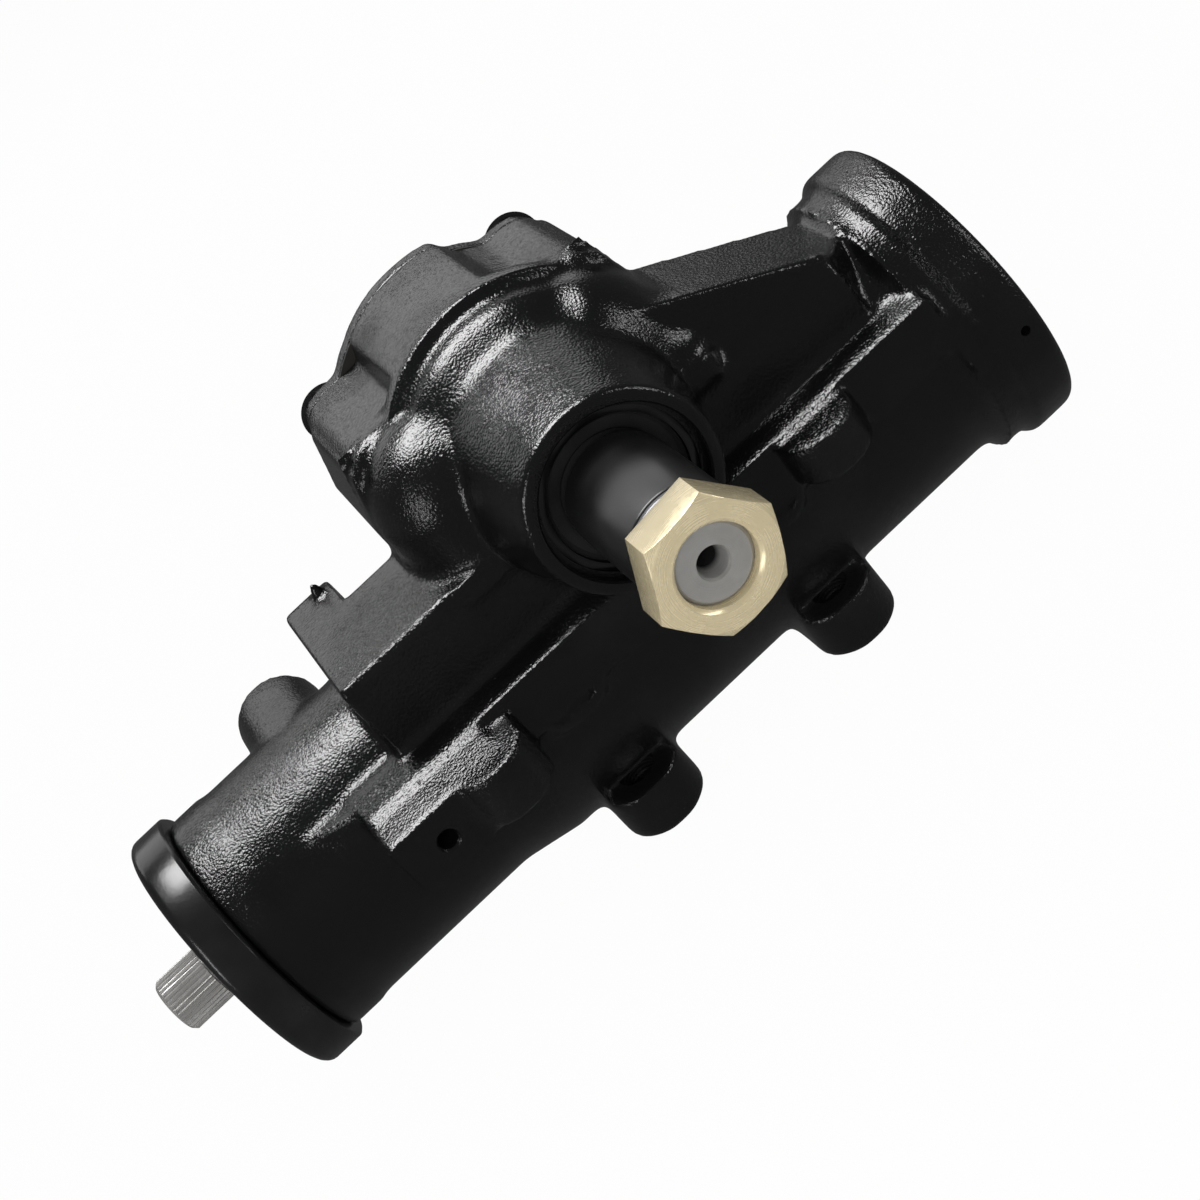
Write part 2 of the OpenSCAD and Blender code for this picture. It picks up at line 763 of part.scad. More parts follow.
module sector_inner_seal() {
    y0 = seal_y1 - seal_w;
    color([0.12, 0.12, 0.12]) placed() turned_y([[seal_bore, seal_y1], [seal_bore, y0], [journal_r + 2, y0],
        [journal_r + run_fit, y0 + 3], [journal_r + 2, y0 + 5], [journal_r + 3, seal_y1]]);
}

module sector_seal_washer() {
    y1 = seal_y1 - seal_w;
    color([0.5, 0.5, 0.52]) placed() ring_y(journal_r + 1, seal_bore, y1 - seal_washer_t, y1);
}

module sector_outer_seal() {
    y1 = seal_y1 - seal_w - seal_washer_t;
    y0 = snap_y + snap_t;
    color([0.1, 0.1, 0.1]) placed() turned_y([[seal_bore, y1], [seal_bore, y0], [seal_bore - 2, y0],
        [journal_r + 4, y0 + 1], [journal_r + run_fit, y0 + 1.5], [journal_r + 2, y0 + 4],
        [journal_r + 2, y1]]);
}

module sector_snap_ring() {
    gape = 9;
    inside = 2.6;
    depth = 10;
    color([0.35, 0.35, 0.36]) placed() difference() {
        ring_y(seal_bore - inside, seal_bore + snap_depth - 0.1, snap_y, snap_y + snap_t);
        translate([-gape / 2, snap_y - over, centre_d - seal_bore - 3])
            cube([gape, snap_t + 2 * over, depth]);
    }
}

module end_plug() {
    edge = 2;
    groove_d = 2 * o_ring_r;
    dish_r = end_plug_r - 6;
    dish = 3;
    hub = 9;
    key_r = 5;
    half = o_groove_w / 2;
    color([0.1, 0.1, 0.105]) placed() difference() {
        turned_x([[0, bore_x1 + 0.1], [end_plug_r - edge, bore_x1 + 0.1], [end_plug_r, bore_x1 + edge],
            [end_plug_r, o_groove_x - half], [end_plug_r - groove_d, o_groove_x - half],
            [end_plug_r - groove_d, o_groove_x + half], [end_plug_r, o_groove_x + half],
            [end_plug_r, ring_x0], [dish_r, ring_x0], [dish_r - dish, ring_x0 - dish],
            [hub, ring_x0 - dish], [hub, ring_x0 + 1], [0, ring_x0 + 1]]);
        rod_x(key_r, ring_x0 - dish - 1, ring_x0 + 1 + over);
    }
}

module end_plug_o_ring() {
    color([0.05, 0.05, 0.05]) placed() rotate([0, 90, 0]) rotate_extrude($fn = 96)
        translate([end_plug_r - o_ring_r, o_groove_x]) circle(o_ring_r - 0.02, $fn = 16);
}

module end_plug_retaining_ring() {
    gape = 14;
    inside = 2;
    depth = 12;
    color([0.45, 0.45, 0.46]) placed() difference() {
        ring_x(end_plug_r - inside, end_plug_r + ring_hold - 0.1, ring_x0, ring_x0 + ring_t - 0.1);
        translate([ring_x0 - over, -gape / 2, -end_plug_r - 4]) cube([ring_t + 2 * over, gape, depth]);
    }
}

module adjuster_plug() {
    pin_r = 2.6;
    pin_depth = 6;
    pin_in = 8;
    color([0.13, 0.13, 0.14]) placed() difference() {
        union() {
            rod_x(plug_r, neck_x, plug_x1);
            rod_x(plug_r - plug_neck, plug_face, neck_x + 1);
        }
        rod_x(stub_r + 1, plug_face - over, plug_x1 + over);
        rod_x(stub_bearing_r, plug_x1 - stub_bearing_l, plug_x1 + over);
        rod_x(seal_in_r, plug_face - over, plug_x1 - seal_floor);
        for (a = [0, 180]) rotate([a, 0, 0]) translate([plug_face - over, 0, plug_r - pin_in])
            rotate([0, 90, 0]) cylinder(r = pin_r, h = pin_depth + over);
    }
}

module adjuster_locknut() {
    soft = 3.5;
    notch_w = 7;
    notch_depth = 5;
    inner = plug_r - plug_neck + thread_fit;
    color([0.1, 0.1, 0.11]) placed() difference() {
        turned_x(concat([[inner, cap_x]], arc(cap_r - soft, cap_x + soft, soft, -90, 0, 5),
            [[cap_r, neck_x - 1], [cap_r - 1, neck_x], [inner, neck_x]]));
        for (a = [45:90:315]) rotate([a, 0, 0])
            translate([cap_x - over, -notch_w / 2, plug_r - 2]) cube([notch_depth + over, notch_w, 7]);
    }
}

module adjuster_o_ring() {
    color([0.05, 0.05, 0.05]) placed() ring_x(valve_r - 3, valve_r, plug_x1 + 0.2, plug_x1 + 2.2);
}

module input_bearing() {
    n = 18;
    roller_r = 1.2;
    shell_t = 0.4;
    path = stub_r + run_fit + roller_r + run_fit;
    x0 = plug_x1 - stub_bearing_l;
    x1 = plug_x1 - 2;
    color([0.7, 0.7, 0.72]) placed() {
        ring_x(stub_bearing_r - shell_t, stub_bearing_r, x0, x1);
        for (i = [0:n - 1]) rotate([360 * i / n, 0, 0]) translate([x0 + 1, 0, path]) rotate([0, 90, 0])
            cylinder(r = roller_r, h = x1 - x0 - 2, $fn = 16);
    }
}

// Lip seal on the input shaft from x0 to x0 + w, with its lip a little inside
module shaft_seal(x0, w, lip_x) {
    turned_x([[seal_in_r, x0 + w], [seal_in_r, x0], [stub_r + 2, x0], [stub_r + run_fit, x0 + lip_x],
        [stub_r + 2, x0 + lip_x + 2], [stub_r + 2, x0 + w]]);
}

module input_seal() {
    seal_t = 7;
    color([0.12, 0.12, 0.12]) placed() shaft_seal(plug_x1 - seal_floor - seal_t, seal_t, 3);
}

module input_dust_seal() {
    seal_t = 6;
    color([0.08, 0.08, 0.08]) placed() shaft_seal(plug_face, seal_t, 1.5);
}

// Needle thrust bearing between two washers
module thrust_bearing(x0, r0, r1) {
    n = 20;
    race = 0.8;
    play = 0.1;
    roller_l = 4;
    roller_r = (thrust_t - 2 * race) / 2 - play;
    mid = (r0 + r1) / 2;
    ring_x(r0, r1, x0 + play, x0 + race);
    ring_x(r0, r1, x0 + thrust_t - race, x0 + thrust_t - play);
    for (i = [0:n - 1]) rotate([360 * i / n, 0, 0]) translate([x0 + thrust_t / 2, 0, mid - roller_l / 2])
        cylinder(r = roller_r, h = roller_l, $fn = 16);
}

module upper_thrust_bearing() {
    color([0.7, 0.7, 0.72]) placed() thrust_bearing(plug_x1, stub_bearing_r + 1, valve_r - 4);
}

module lower_thrust_bearing() {
    color([0.7, 0.7, 0.72]) placed() thrust_bearing(head_x1, wall_hole_r + 1, valve_r - 2);
}

// Tube seat pressed into the floor of a port
module port_seat(z) {
    tip_r = 3.4;
    hole_r = 2.5;
    translate([port_x, port_floor, z]) rotate([-90, 0, 0]) difference() {
        union() {
            cylinder(r = seat_r, h = seat_foot);
            cylinder(r1 = seat_r - 1, r2 = tip_r, h = seat_depth - 0.5);
        }
        translate([0, 0, -over]) cylinder(r = hole_r, h = seat_depth + 2 * over);
    }
}

module pressure_port_seat() { color([0.78, 0.62, 0.3]) placed() port_seat(port_z[0]); }
module return_port_seat() { color([0.78, 0.62, 0.3]) placed() port_seat(port_z[1]); }

// Ball groove of the worm as a cross-section that turns along the shaft
function worm_radius(a) = let (x = worm_lead * a / 360)
    abs(x) < groove_r ? min(worm_r, ball_path_r - sqrt(groove_r * groove_r - x * x)) : worm_r;
function worm_section(step = 18) = [for (a = [-180:step:179]) polar(worm_radius(a), a)];

module wormshaft() {
    run_out = 8;
    slice_turn = 18;
    neck_swell = 0.45;
    thread_x0 = -guide_span / 2 - travel - run_out;
    thread_l = worm_x1 - thread_x0;
    turn = 360 * thread_l / worm_lead;
    first = 360 * thread_x0 / worm_lead;
    color([0.66, 0.66, 0.68]) placed() difference() {
        union() {
            translate([thread_x0, 0, 0]) rotate([90, 0, 90]) rotate([0, 0, first])
                linear_extrude(thread_l, twist = -turn, slices = round(turn / slice_turn), segments = 20)
                    polygon(worm_section());
            rod_x(worm_r + neck_swell, head_x1 - 1, thread_x0 + 1);
            rod_x(valve_r - 1, head_x0, head_x1);
        }
        rod_x(bar_bore, head_x0 - over, worm_x1 - bar_short);
        rod_x(tang_r + run_fit, head_x0 - over, head_x0 + tang_l + 1);
    }
}

module valve_sleeve() {
    pin_z = valve_r - 6;
    color([0.62, 0.62, 0.65]) placed() difference() {
        rod_x(valve_r, valve_x0, valve_x1);
        rod_x(spool_r + run_fit, valve_x0 - over, valve_x1 + over);
        for (x = valve_grooves)
            ring_x(valve_r - valve_ring_d, valve_r + over, x - valve_ring_w / 2, x + valve_ring_w / 2);
        for (i = [0:valve_slots - 1]) rotate([360 * i / valve_slots, 0, 0])
            translate([valve_x0 + slot_end, -slot_w / 2, spool_r - 1])
                cube([valve_l - 2 * slot_end, slot_w, 3]);
        translate([valve_x1 - drive_pin_l, 0, pin_z]) rotate([0, 90, 0])
            cylinder(r = drive_pin_r, h = drive_pin_l + over);
    }
}

module valve_rings() {
    half = valve_ring_w / 2;
    color([0.3, 0.25, 0.2]) placed() for (x = valve_grooves)
        ring_x(valve_r - valve_ring_d + 0.1, valve_r + run_fit / 2, x - half, x + half);
}

module sleeve_drive_pin() {
    pin_z = valve_r - 6;
    color([0.55, 0.55, 0.57]) placed() translate([valve_x1 - drive_pin_l, 0, pin_z]) rotate([0, 90, 0])
        cylinder(r = drive_pin_r - run_fit, h = drive_pin_l);
}

module stub_shaft() {
    tooth_h = 0.7;
    edge = 1.2;
    notch_w = 5;
    notch_d = 1.6;
    notch_x = cap_x - notch_w - 2;
    spool_x0 = valve_x0 + 2;
    color([0.68, 0.68, 0.7]) placed() difference() {
        union() {
            turned_x([[0, stub_x], [stub_r - edge, stub_x], [stub_r, stub_x + edge], [stub_r, spool_x0 + 1],
                [0, spool_x0 + 1]]);
            rod_x(spool_r, spool_x0, valve_x1 - 1);
            rod_x(tang_r, valve_x1 - 2, valve_x1 + tang_l);
        }
        rod_x(bar_bore, stub_x + bar_set, valve_x1 + tang_l + over);
        ring_x(stub_r - notch_d, stub_r + over, notch_x, notch_x + notch_w);
        for (i = [0:serrations - 1]) rotate([360 * i / serrations, 0, 0])
            translate([stub_x - over, 0, stub_r]) rotate([0, 90, 0])
                cylinder(r = tooth_h, h = notch_x - stub_x + over, $fn = 4);
        for (i = [0:valve_slots - 1]) rotate([30 + 360 * i / valve_slots, 0, 0])
            translate([valve_x0 + slot_end, -slot_w / 2, spool_r - 2])
                cube([valve_l - 2 * slot_end, slot_w, 3]);
    }
}

module torsion_bar() {
    head_x = stub_x + bar_set;
    color([0.55, 0.55, 0.58]) placed() {
        rod_x(bar_bore, head_x, head_x + bar_head_l);
        rod_x(bar_r, head_x + bar_head_l - 1, worm_x1 - bar_short - 0.5);
    }
}

// Balls along the helix of the worm
ball_turns = 900;
function ball_at(i) = let (a = (i - (ball_count - 1) / 2) * ball_turns / (ball_count - 1))
    [worm_lead * a / 360, ball_path_r * cos(a), ball_path_r * sin(a)];

// One gap of the rack, wider towards the tips
module rack_gap(x) {
    half = tooth_pitch / 4 + backlash / 2;
    up = (addendum + over) * tan(pressure_angle);
    down = rack_dedendum * tan(pressure_angle);
    slab_y([[x - half + down, rack_root], [x + half - down, rack_root], [x + half + up, rack_tip + over],
        [x - half - up, rack_tip + over]], -piston_r, piston_r);
}

module rack_piston() {
    edge = 1;
    run_out = 3;
    relief = 30;
    flat = 2 * tooth_pitch + run_out;
    color([0.5, 0.5, 0.53]) placed() difference() {
        turned_x([[nut_r, piston_x0], [piston_r - edge, piston_x0], [piston_r, piston_x0 + edge],
            [piston_r, piston_x1 - edge], [piston_r - edge, piston_x1], [nut_r, piston_x1]]);
        translate([-flat, -piston_r, rack_tip]) cube([2 * flat, 2 * piston_r, piston_r]);
        for (i = [-1:1]) rack_gap(i * tooth_pitch);
        translate([2 * tooth_pitch - 2, -piston_r, rack_root]) cube([run_out + 2, 2 * piston_r, piston_r]);
        translate([-2 * tooth_pitch - relief, -piston_r, rack_root])
            cube([relief + 2, 2 * piston_r, piston_r]);
        ring_x(piston_r - ring_groove_d, piston_r + over, ring_groove_x, ring_groove_x + ring_groove_w);
        rod_x(plug_in_r, piston_x1 - plug_in_l, piston_x1 + over);
        for (i = [0:ball_count - 1]) translate(ball_at(i)) sphere(ball_d / 2 + run_fit, $fn = 32);
        translate([-guide_span / 2 - 10, -guide_pocket_w / 2, -piston_r - over])
            cube([guide_span + 20, guide_pocket_w, guide_depth + over]);
    }
}

module piston_ring() {
    x0 = ring_groove_x + run_fit;
    color([0.25, 0.22, 0.2]) placed()
        ring_x(piston_r - ring_groove_d + 0.1, piston_r + run_fit / 2, x0, x0 + ring_groove_w - 2 * run_fit);
}

module piston_end_plug() {
    key_r = 7;
    key_depth = 3;
    color([0.48, 0.48, 0.5]) placed() difference() {
        rod_x(plug_in_r, piston_x1 - plug_in_l, piston_x1);
        translate([piston_x1 - key_depth, 0, 0]) rotate([0, 90, 0])
            cylinder(r = key_r, h = key_depth + over, $fn = 6);
    }
}

module ball_set() {
    color([0.78, 0.78, 0.8]) placed()
        for (i = [0:ball_count - 1]) translate(ball_at(i)) sphere(ball_d / 2, $fn = 32);
}

// Return tube between the two ends of the ball path
module ball_guide() {
    color([0.6, 0.58, 0.5]) placed() translate([0, 0, guide_z - guide_tube_r])
        rod_x(guide_tube_r, -guide_span / 2, guide_span / 2);
}

module guide_clamp() {
    color([0.55, 0.55, 0.57]) placed() difference() {
        translate([-clamp_l / 2, -clamp_w / 2, guide_z - clamp_t]) cube([clamp_l, clamp_w, clamp_t]);
        translate([0, 0, guide_z - guide_tube_r])
            rod_x(guide_tube_r + thread_fit, -clamp_l / 2 - over, clamp_l / 2 + over);
        translate([-clamp_l / 2 - over, -guide_tube_r, guide_z - guide_tube_r])
            cube([clamp_l + 2 * over, 2 * guide_tube_r, guide_tube_r + over]);
        for (y = [-clamp_screw_y, clamp_screw_y]) translate([0, y, guide_z - clamp_t - over])
            cylinder(r = clamp_screw_r + run_fit, h = clamp_t + 2 * over);
    }
}

module clamp_screws() {
    head_r = 2.9;
    head_h = 1.2;
    color([0.4, 0.4, 0.42]) placed() for (y = [-clamp_screw_y, clamp_screw_y])
        translate([0, y, guide_z - clamp_t]) {
            cylinder(r = clamp_screw_r, h = clamp_t);
            translate([0, 0, -head_h]) cylinder(r = head_r, h = head_h);
        }
}

// Half angle of an involute sector tooth at radius r
function inv(a) = tan(a) * 180 / PI - a;
function tooth_half(r) = 90 / teeth_round - backlash / 2 / pitch_r * 180 / PI + inv(pressure_angle)
    - (r > base_r ? inv(acos(base_r / r)) : 0);
function flank(side, n = 6) = [for (i = [0:n]) let (r = root_r - 1 + (tip_r - root_r + 1) * i / n)
    r * [sin(side * tooth_half(r)), -cos(side * tooth_half(r))]];

module sector_tooth(a) {
    left = flank(-1);
    right = flank(1);
    translate([0, sector_y1, centre_d]) rotate([90, 0, 0]) rotate([0, 0, a]) linear_extrude(sector_w)
        polygon(concat(left, [for (i = [len(right) - 1:-1:0]) right[i]]));
}

// Toothed web between the outer teeth
module sector_web() {
    edge = 360 / teeth_round + 14;
    slab_y(raised(concat([[0, journal_r - 4]], arc(0, 0, root_r, -90 - edge, -90 + edge, 16))),
        sector_y0, sector_y1);
}

// Slot across the trunnion's end for the head of the lash screw
module lash_slot() {
    head_w = 2 * lash_head_r + 3 * lash_play;
    neck_w = 2 * lash_r + 6 * lash_play;
    wide = 2 * trunnion_r + 2;
    y0 = lash_y0 - lash_play;
    translate([-wide / 2, y0, centre_d - head_w / 2]) cube([wide, lash_head_t + 2 * lash_play, head_w]);
    translate([-wide / 2, y0 + 1, centre_d - neck_w / 2]) cube([wide, trunnion_y - y0, neck_w]);
}

module sector_shaft() {
    taper_y0 = sleeve_y0 + 2;
    taper_y1 = boss_y + 4;
    spline_r = journal_r - 2.2;
    thread_edge = 1.2;
    end_y = nut_y + 3.5;
    centre_r = 4.8;
    hub = journal_r + 4;
    color([0.6, 0.6, 0.62]) placed() difference() {
        union() {
            turned_y([[0, end_y], [pitman_thread_r - thread_edge, end_y],
                [pitman_thread_r, end_y + thread_edge], [pitman_thread_r, taper_y0],
                [spline_r - 2, taper_y0], [spline_r, taper_y1], [journal_r, taper_y1 + 2],
                [journal_r, sector_y1 - 1], [0, sector_y1 - 1]]);
            rod_y(trunnion_r, sector_y1 - 2, trunnion_y);
            rod_y(hub, sector_y0, sector_y1);
            sector_web();
            for (i = [-1:1]) sector_tooth(i * 360 / teeth_round);
        }
        turned_y([[0, end_y - over], [centre_r + 1, end_y - over], [centre_r, end_y + 1],
            [centre_r - 1.5, end_y + 7], [0, end_y + 11]]);
        lash_slot();
    }
}

module spline_sleeve() {
    in_r = journal_r - 2;
    edge = 0.8;
    y1 = boss_y + 2;
    color([0.11, 0.11, 0.12]) placed() turned_y([[in_r, sleeve_y0], [sleeve_r - edge, sleeve_y0],
        [sleeve_r, sleeve_y0 + edge], [sleeve_r, y1 - edge], [sleeve_r - edge, y1], [in_r, y1]]);
}

module lock_washer() {
    out_r = nut_af / 2 - 0.4;
    in_r = pitman_thread_r + 0.2;
    edge = 1;
    y1 = nut_y1 + washer_t;
    color([0.2, 0.2, 0.21]) placed() turned_y([[in_r, nut_y1], [out_r - edge, nut_y1], [out_r, nut_y1 + edge],
        [out_r, y1 - edge], [out_r - edge, y1], [in_r, y1]]);
}

module pitman_nut() {
    corner_r = nut_af / 2 / cos(30);
    chamfer = 2;
    sink = 1.4;
    hole_r = pitman_thread_r + thread_fit;
    color([0.83, 0.77, 0.6]) placed() difference() {
        intersection() {
            translate([0, nut_y, centre_d]) rotate([-90, 0, 0]) rotate([0, 0, -nut_turn])
                cylinder(r = corner_r, h = nut_t, $fn = 6);
            turned_y([[0, nut_y], [nut_af / 2 + 0.2, nut_y], [corner_r, nut_y + chamfer], [corner_r, nut_y1],
                [0, nut_y1]]);
        }
        rod_y(hole_r, nut_y - over, nut_y1 + over);
        turned_y([[0, nut_y - over], [hole_r + 2, nut_y - over], [hole_r - 0.1, nut_y + sink],
            [0, nut_y + sink]]);
    }
}

housing();
side_cover();
side_cover_gasket();
side_cover_bolts();
sector_bush();
lash_adjuster_screw();
lash_locknut();
sector_bearing_cup();
sector_needles();
sector_inner_seal();
sector_seal_washer();
sector_outer_seal();
sector_snap_ring();
end_plug();
end_plug_o_ring();
end_plug_retaining_ring();
adjuster_plug();
adjuster_locknut();
adjuster_o_ring();
input_bearing();
input_seal();
input_dust_seal();
upper_thrust_bearing();
lower_thrust_bearing();
pressure_port_seat();
return_port_seat();
wormshaft();
valve_sleeve();
valve_rings();
sleeve_drive_pin();
stub_shaft();
torsion_bar();
rack_piston();
piston_ring();
piston_end_plug();
ball_set();
ball_guide();
guide_clamp();
clamp_screws();
sector_shaft();
spline_sleeve();
lock_washer();
pitman_nut();
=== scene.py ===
import json
import math

import bmesh
import bpy
import numpy as np
from mathutils import Matrix, Vector


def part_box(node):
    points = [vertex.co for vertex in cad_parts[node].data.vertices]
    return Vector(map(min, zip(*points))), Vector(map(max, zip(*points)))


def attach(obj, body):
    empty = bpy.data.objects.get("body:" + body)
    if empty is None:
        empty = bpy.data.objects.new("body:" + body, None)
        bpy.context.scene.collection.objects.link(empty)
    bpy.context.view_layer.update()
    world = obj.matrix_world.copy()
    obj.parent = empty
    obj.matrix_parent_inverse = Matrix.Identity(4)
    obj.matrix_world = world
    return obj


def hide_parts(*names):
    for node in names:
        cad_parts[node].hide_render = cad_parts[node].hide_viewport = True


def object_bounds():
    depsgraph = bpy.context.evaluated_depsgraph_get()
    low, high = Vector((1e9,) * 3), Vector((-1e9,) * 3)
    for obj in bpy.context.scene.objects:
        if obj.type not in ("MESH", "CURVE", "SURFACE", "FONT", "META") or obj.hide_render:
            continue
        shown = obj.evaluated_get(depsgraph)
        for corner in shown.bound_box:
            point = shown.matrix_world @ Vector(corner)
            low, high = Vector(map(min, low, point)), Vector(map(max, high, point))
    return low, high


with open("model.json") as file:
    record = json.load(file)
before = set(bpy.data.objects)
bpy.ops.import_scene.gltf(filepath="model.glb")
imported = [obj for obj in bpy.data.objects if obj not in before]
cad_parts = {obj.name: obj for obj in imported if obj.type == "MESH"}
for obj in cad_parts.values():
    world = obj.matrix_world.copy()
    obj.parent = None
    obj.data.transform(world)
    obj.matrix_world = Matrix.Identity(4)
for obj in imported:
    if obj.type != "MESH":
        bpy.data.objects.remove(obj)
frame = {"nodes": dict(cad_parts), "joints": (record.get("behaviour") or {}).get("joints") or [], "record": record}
cadLow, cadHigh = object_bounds()
cad = frame["nodes"]
mm = 0.001
scene = bpy.context.scene

# the worm axis and the sector axis, from the joints that turn on them
joints = {joint["name"]: joint for joint in frame["joints"]}
wormAxis = Vector(joints["input_turn"]["pos_m"])
sectorAxis = Vector(joints["sector_swing"]["pos_m"])
mounts = {mount["name"]: mount for mount in frame["record"]["mounts"]}
bodies = frame["record"]["behaviour"]["bodies"]
bodyOf = {node: body for body, members in bodies.items() for node in members}
slotOf = {part["node"]: part["material_slot"] for part in frame["record"]["subparts"]}


def roundR(node):
    low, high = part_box(node)
    return (high.z - low.z) / 2


class Wire:
    # one socket of a node tree that takes part in plain arithmetic
    def __init__(self, tree, socket):
        self.tree = tree
        self.socket = socket

    def __add__(self, other):
        return self.tree.math("ADD", self, other)

    def __radd__(self, other):
        return self.tree.math("ADD", other, self)

    def __sub__(self, other):
        return self.tree.math("SUBTRACT", self, other)

    def __rsub__(self, other):
        return self.tree.math("SUBTRACT", other, self)

    def __mul__(self, other):
        return self.tree.math("MULTIPLY", self, other)

    def __rmul__(self, other):
        return self.tree.math("MULTIPLY", other, self)

    def __truediv__(self, other):
        return self.tree.math("DIVIDE", self, other)

    def __pow__(self, other):
        return self.tree.math("POWER", self, other)


class Tree:
    # adds nodes to a shader tree or a geometry tree
    def __init__(self, nodeTree):
        self.nodeTree = nodeTree

    def node(self, kind, settings=None, sockets=None, out=0):
        made = self.nodeTree.nodes.new(kind)
        for name, value in (settings or {}).items():
            setattr(made, name, value)
        for name, value in (sockets or {}).items():
            if isinstance(value, Wire):
                self.nodeTree.links.new(value.socket, made.inputs[name])
            else:
                made.inputs[name].default_value = value
        return Wire(self, made.outputs[out]) if len(made.outputs) else made

    def math(self, operation, first, second):
        return self.node("ShaderNodeMath", {"operation": operation}, {0: first, 1: second})

    def clamp(self, value, low=0.0, high=1.0):
        return self.node("ShaderNodeClamp", {}, {"Value": value, "Min": low, "Max": high})

    def mixColor(self, factor, first, second):
        settings = {"data_type": "RGBA", "blend_type": "MIX"}
        return self.node("ShaderNodeMix", settings, {0: factor, 6: first, 7: second}, out=2)


def newMaterial(name):
    material = bpy.data.materials.new(name)
    material.use_nodes = True
    material.node_tree.nodes.clear()
    return material, Tree(material.node_tree)


def closeMaterial(tree, sockets):
    shader = tree.node("ShaderNodeBsdfPrincipled", {}, sockets, out="BSDF")
    tree.node("ShaderNodeOutputMaterial", {}, {"Surface": shader})


def grey(value):
    return (value, value, value, 1)


# black gloss paint over sand-cast iron
castPaint = {
    "color": (0.004, 0.004, 0.0044, 1),
    "dust": (0.009, 0.009, 0.0094, 1),
    "grainPerMetre": 1150,
    "grainHeight": 0.42 * mm,
    "cellHeight": 0.2 * mm,
    "speckPerMetre": 520,
    "speckHeight": 0.9 * mm,
    "patchPerMetre": 26,
    "ripplePerMetre": 95,
    "rippleHeight": 0.3 * mm,
    "roughness": 0.17,
}


def makeCastPaint(name, look):
    material, tree = newMaterial(name)
    where = tree.node("ShaderNodeTexCoord", out="Object")
    grain = tree.node("ShaderNodeTexNoise", {}, {
        "Vector": where, "Scale": look["grainPerMetre"], "Detail": 2, "Roughness": 0.5})
    cells = tree.node("ShaderNodeTexVoronoi", {"feature": "SMOOTH_F1"}, {
        "Vector": where, "Scale": look["grainPerMetre"], "Smoothness": 0.35})
    specks = tree.node("ShaderNodeTexNoise", {}, {
        "Vector": where, "Scale": look["speckPerMetre"], "Detail": 1})
    ripple = tree.node("ShaderNodeTexNoise", {}, {
        "Vector": where, "Scale": look["ripplePerMetre"], "Detail": 1.5, "Roughness": 0.5})
    patches = tree.node("ShaderNodeTexNoise", {}, {
        "Vector": where, "Scale": look["patchPerMetre"], "Detail": 4})
    # the grain is stronger in some patches, as where the sand was coarser
    coarse = tree.clamp((patches - 0.32) * 2.4, 0.35, 1.0)
    pimples = tree.clamp(specks - 0.7) * look["speckHeight"]
    height = (grain * look["grainHeight"] - cells * look["cellHeight"]) * coarse + pimples
    height = height + ripple * look["rippleHeight"]
    bump = tree.node("ShaderNodeBump", {}, {"Height": height, "Strength": 1.0, "Distance": 1.0})
    color = tree.mixColor(tree.clamp((patches - 0.5) * 2.2), look["color"], look["dust"])
    rough = look["roughness"] + (patches - 0.5) * 0.12 + (grain - 0.5) * 0.08
    closeMaterial(tree, {
        "Base Color": color, "Roughness": tree.clamp(rough, 0.08, 0.6), "Normal": bump})
    return material


# smooth black finishes: painted caps, plastic sleeve, rubber lips
def makeSatinBlack(name, color, roughness, finePerMetre=1500, fineHeight=0.02 * mm):
    material, tree = newMaterial(name)
    where = tree.node("ShaderNodeTexCoord", out="Object")
    fine = tree.node("ShaderNodeTexNoise", {}, {"Vector": where, "Scale": finePerMetre, "Detail": 2})
    cloud = tree.node("ShaderNodeTexNoise", {}, {"Vector": where, "Scale": 60, "Detail": 4})
    bump = tree.node("ShaderNodeBump", {}, {"Height": fine * fineHeight, "Strength": 1.0, "Distance": 1.0})
    paler = tuple(min(1, 1.9 * c + 0.003) for c in color[:3]) + (1,)
    closeMaterial(tree, {
        "Base Color": tree.mixColor(tree.clamp((cloud - 0.35) * 1.6), color, paler),
        "Roughness": tree.clamp(roughness + (cloud - 0.5) * 0.18, 0.05, 0.9), "Normal": bump})
    return material


# turned metal, with lathe rings round an axis
latheMarks = {"ringsPerMetre": 2600, "ringHeight": 0.012 * mm, "edge": 0.6 * mm}


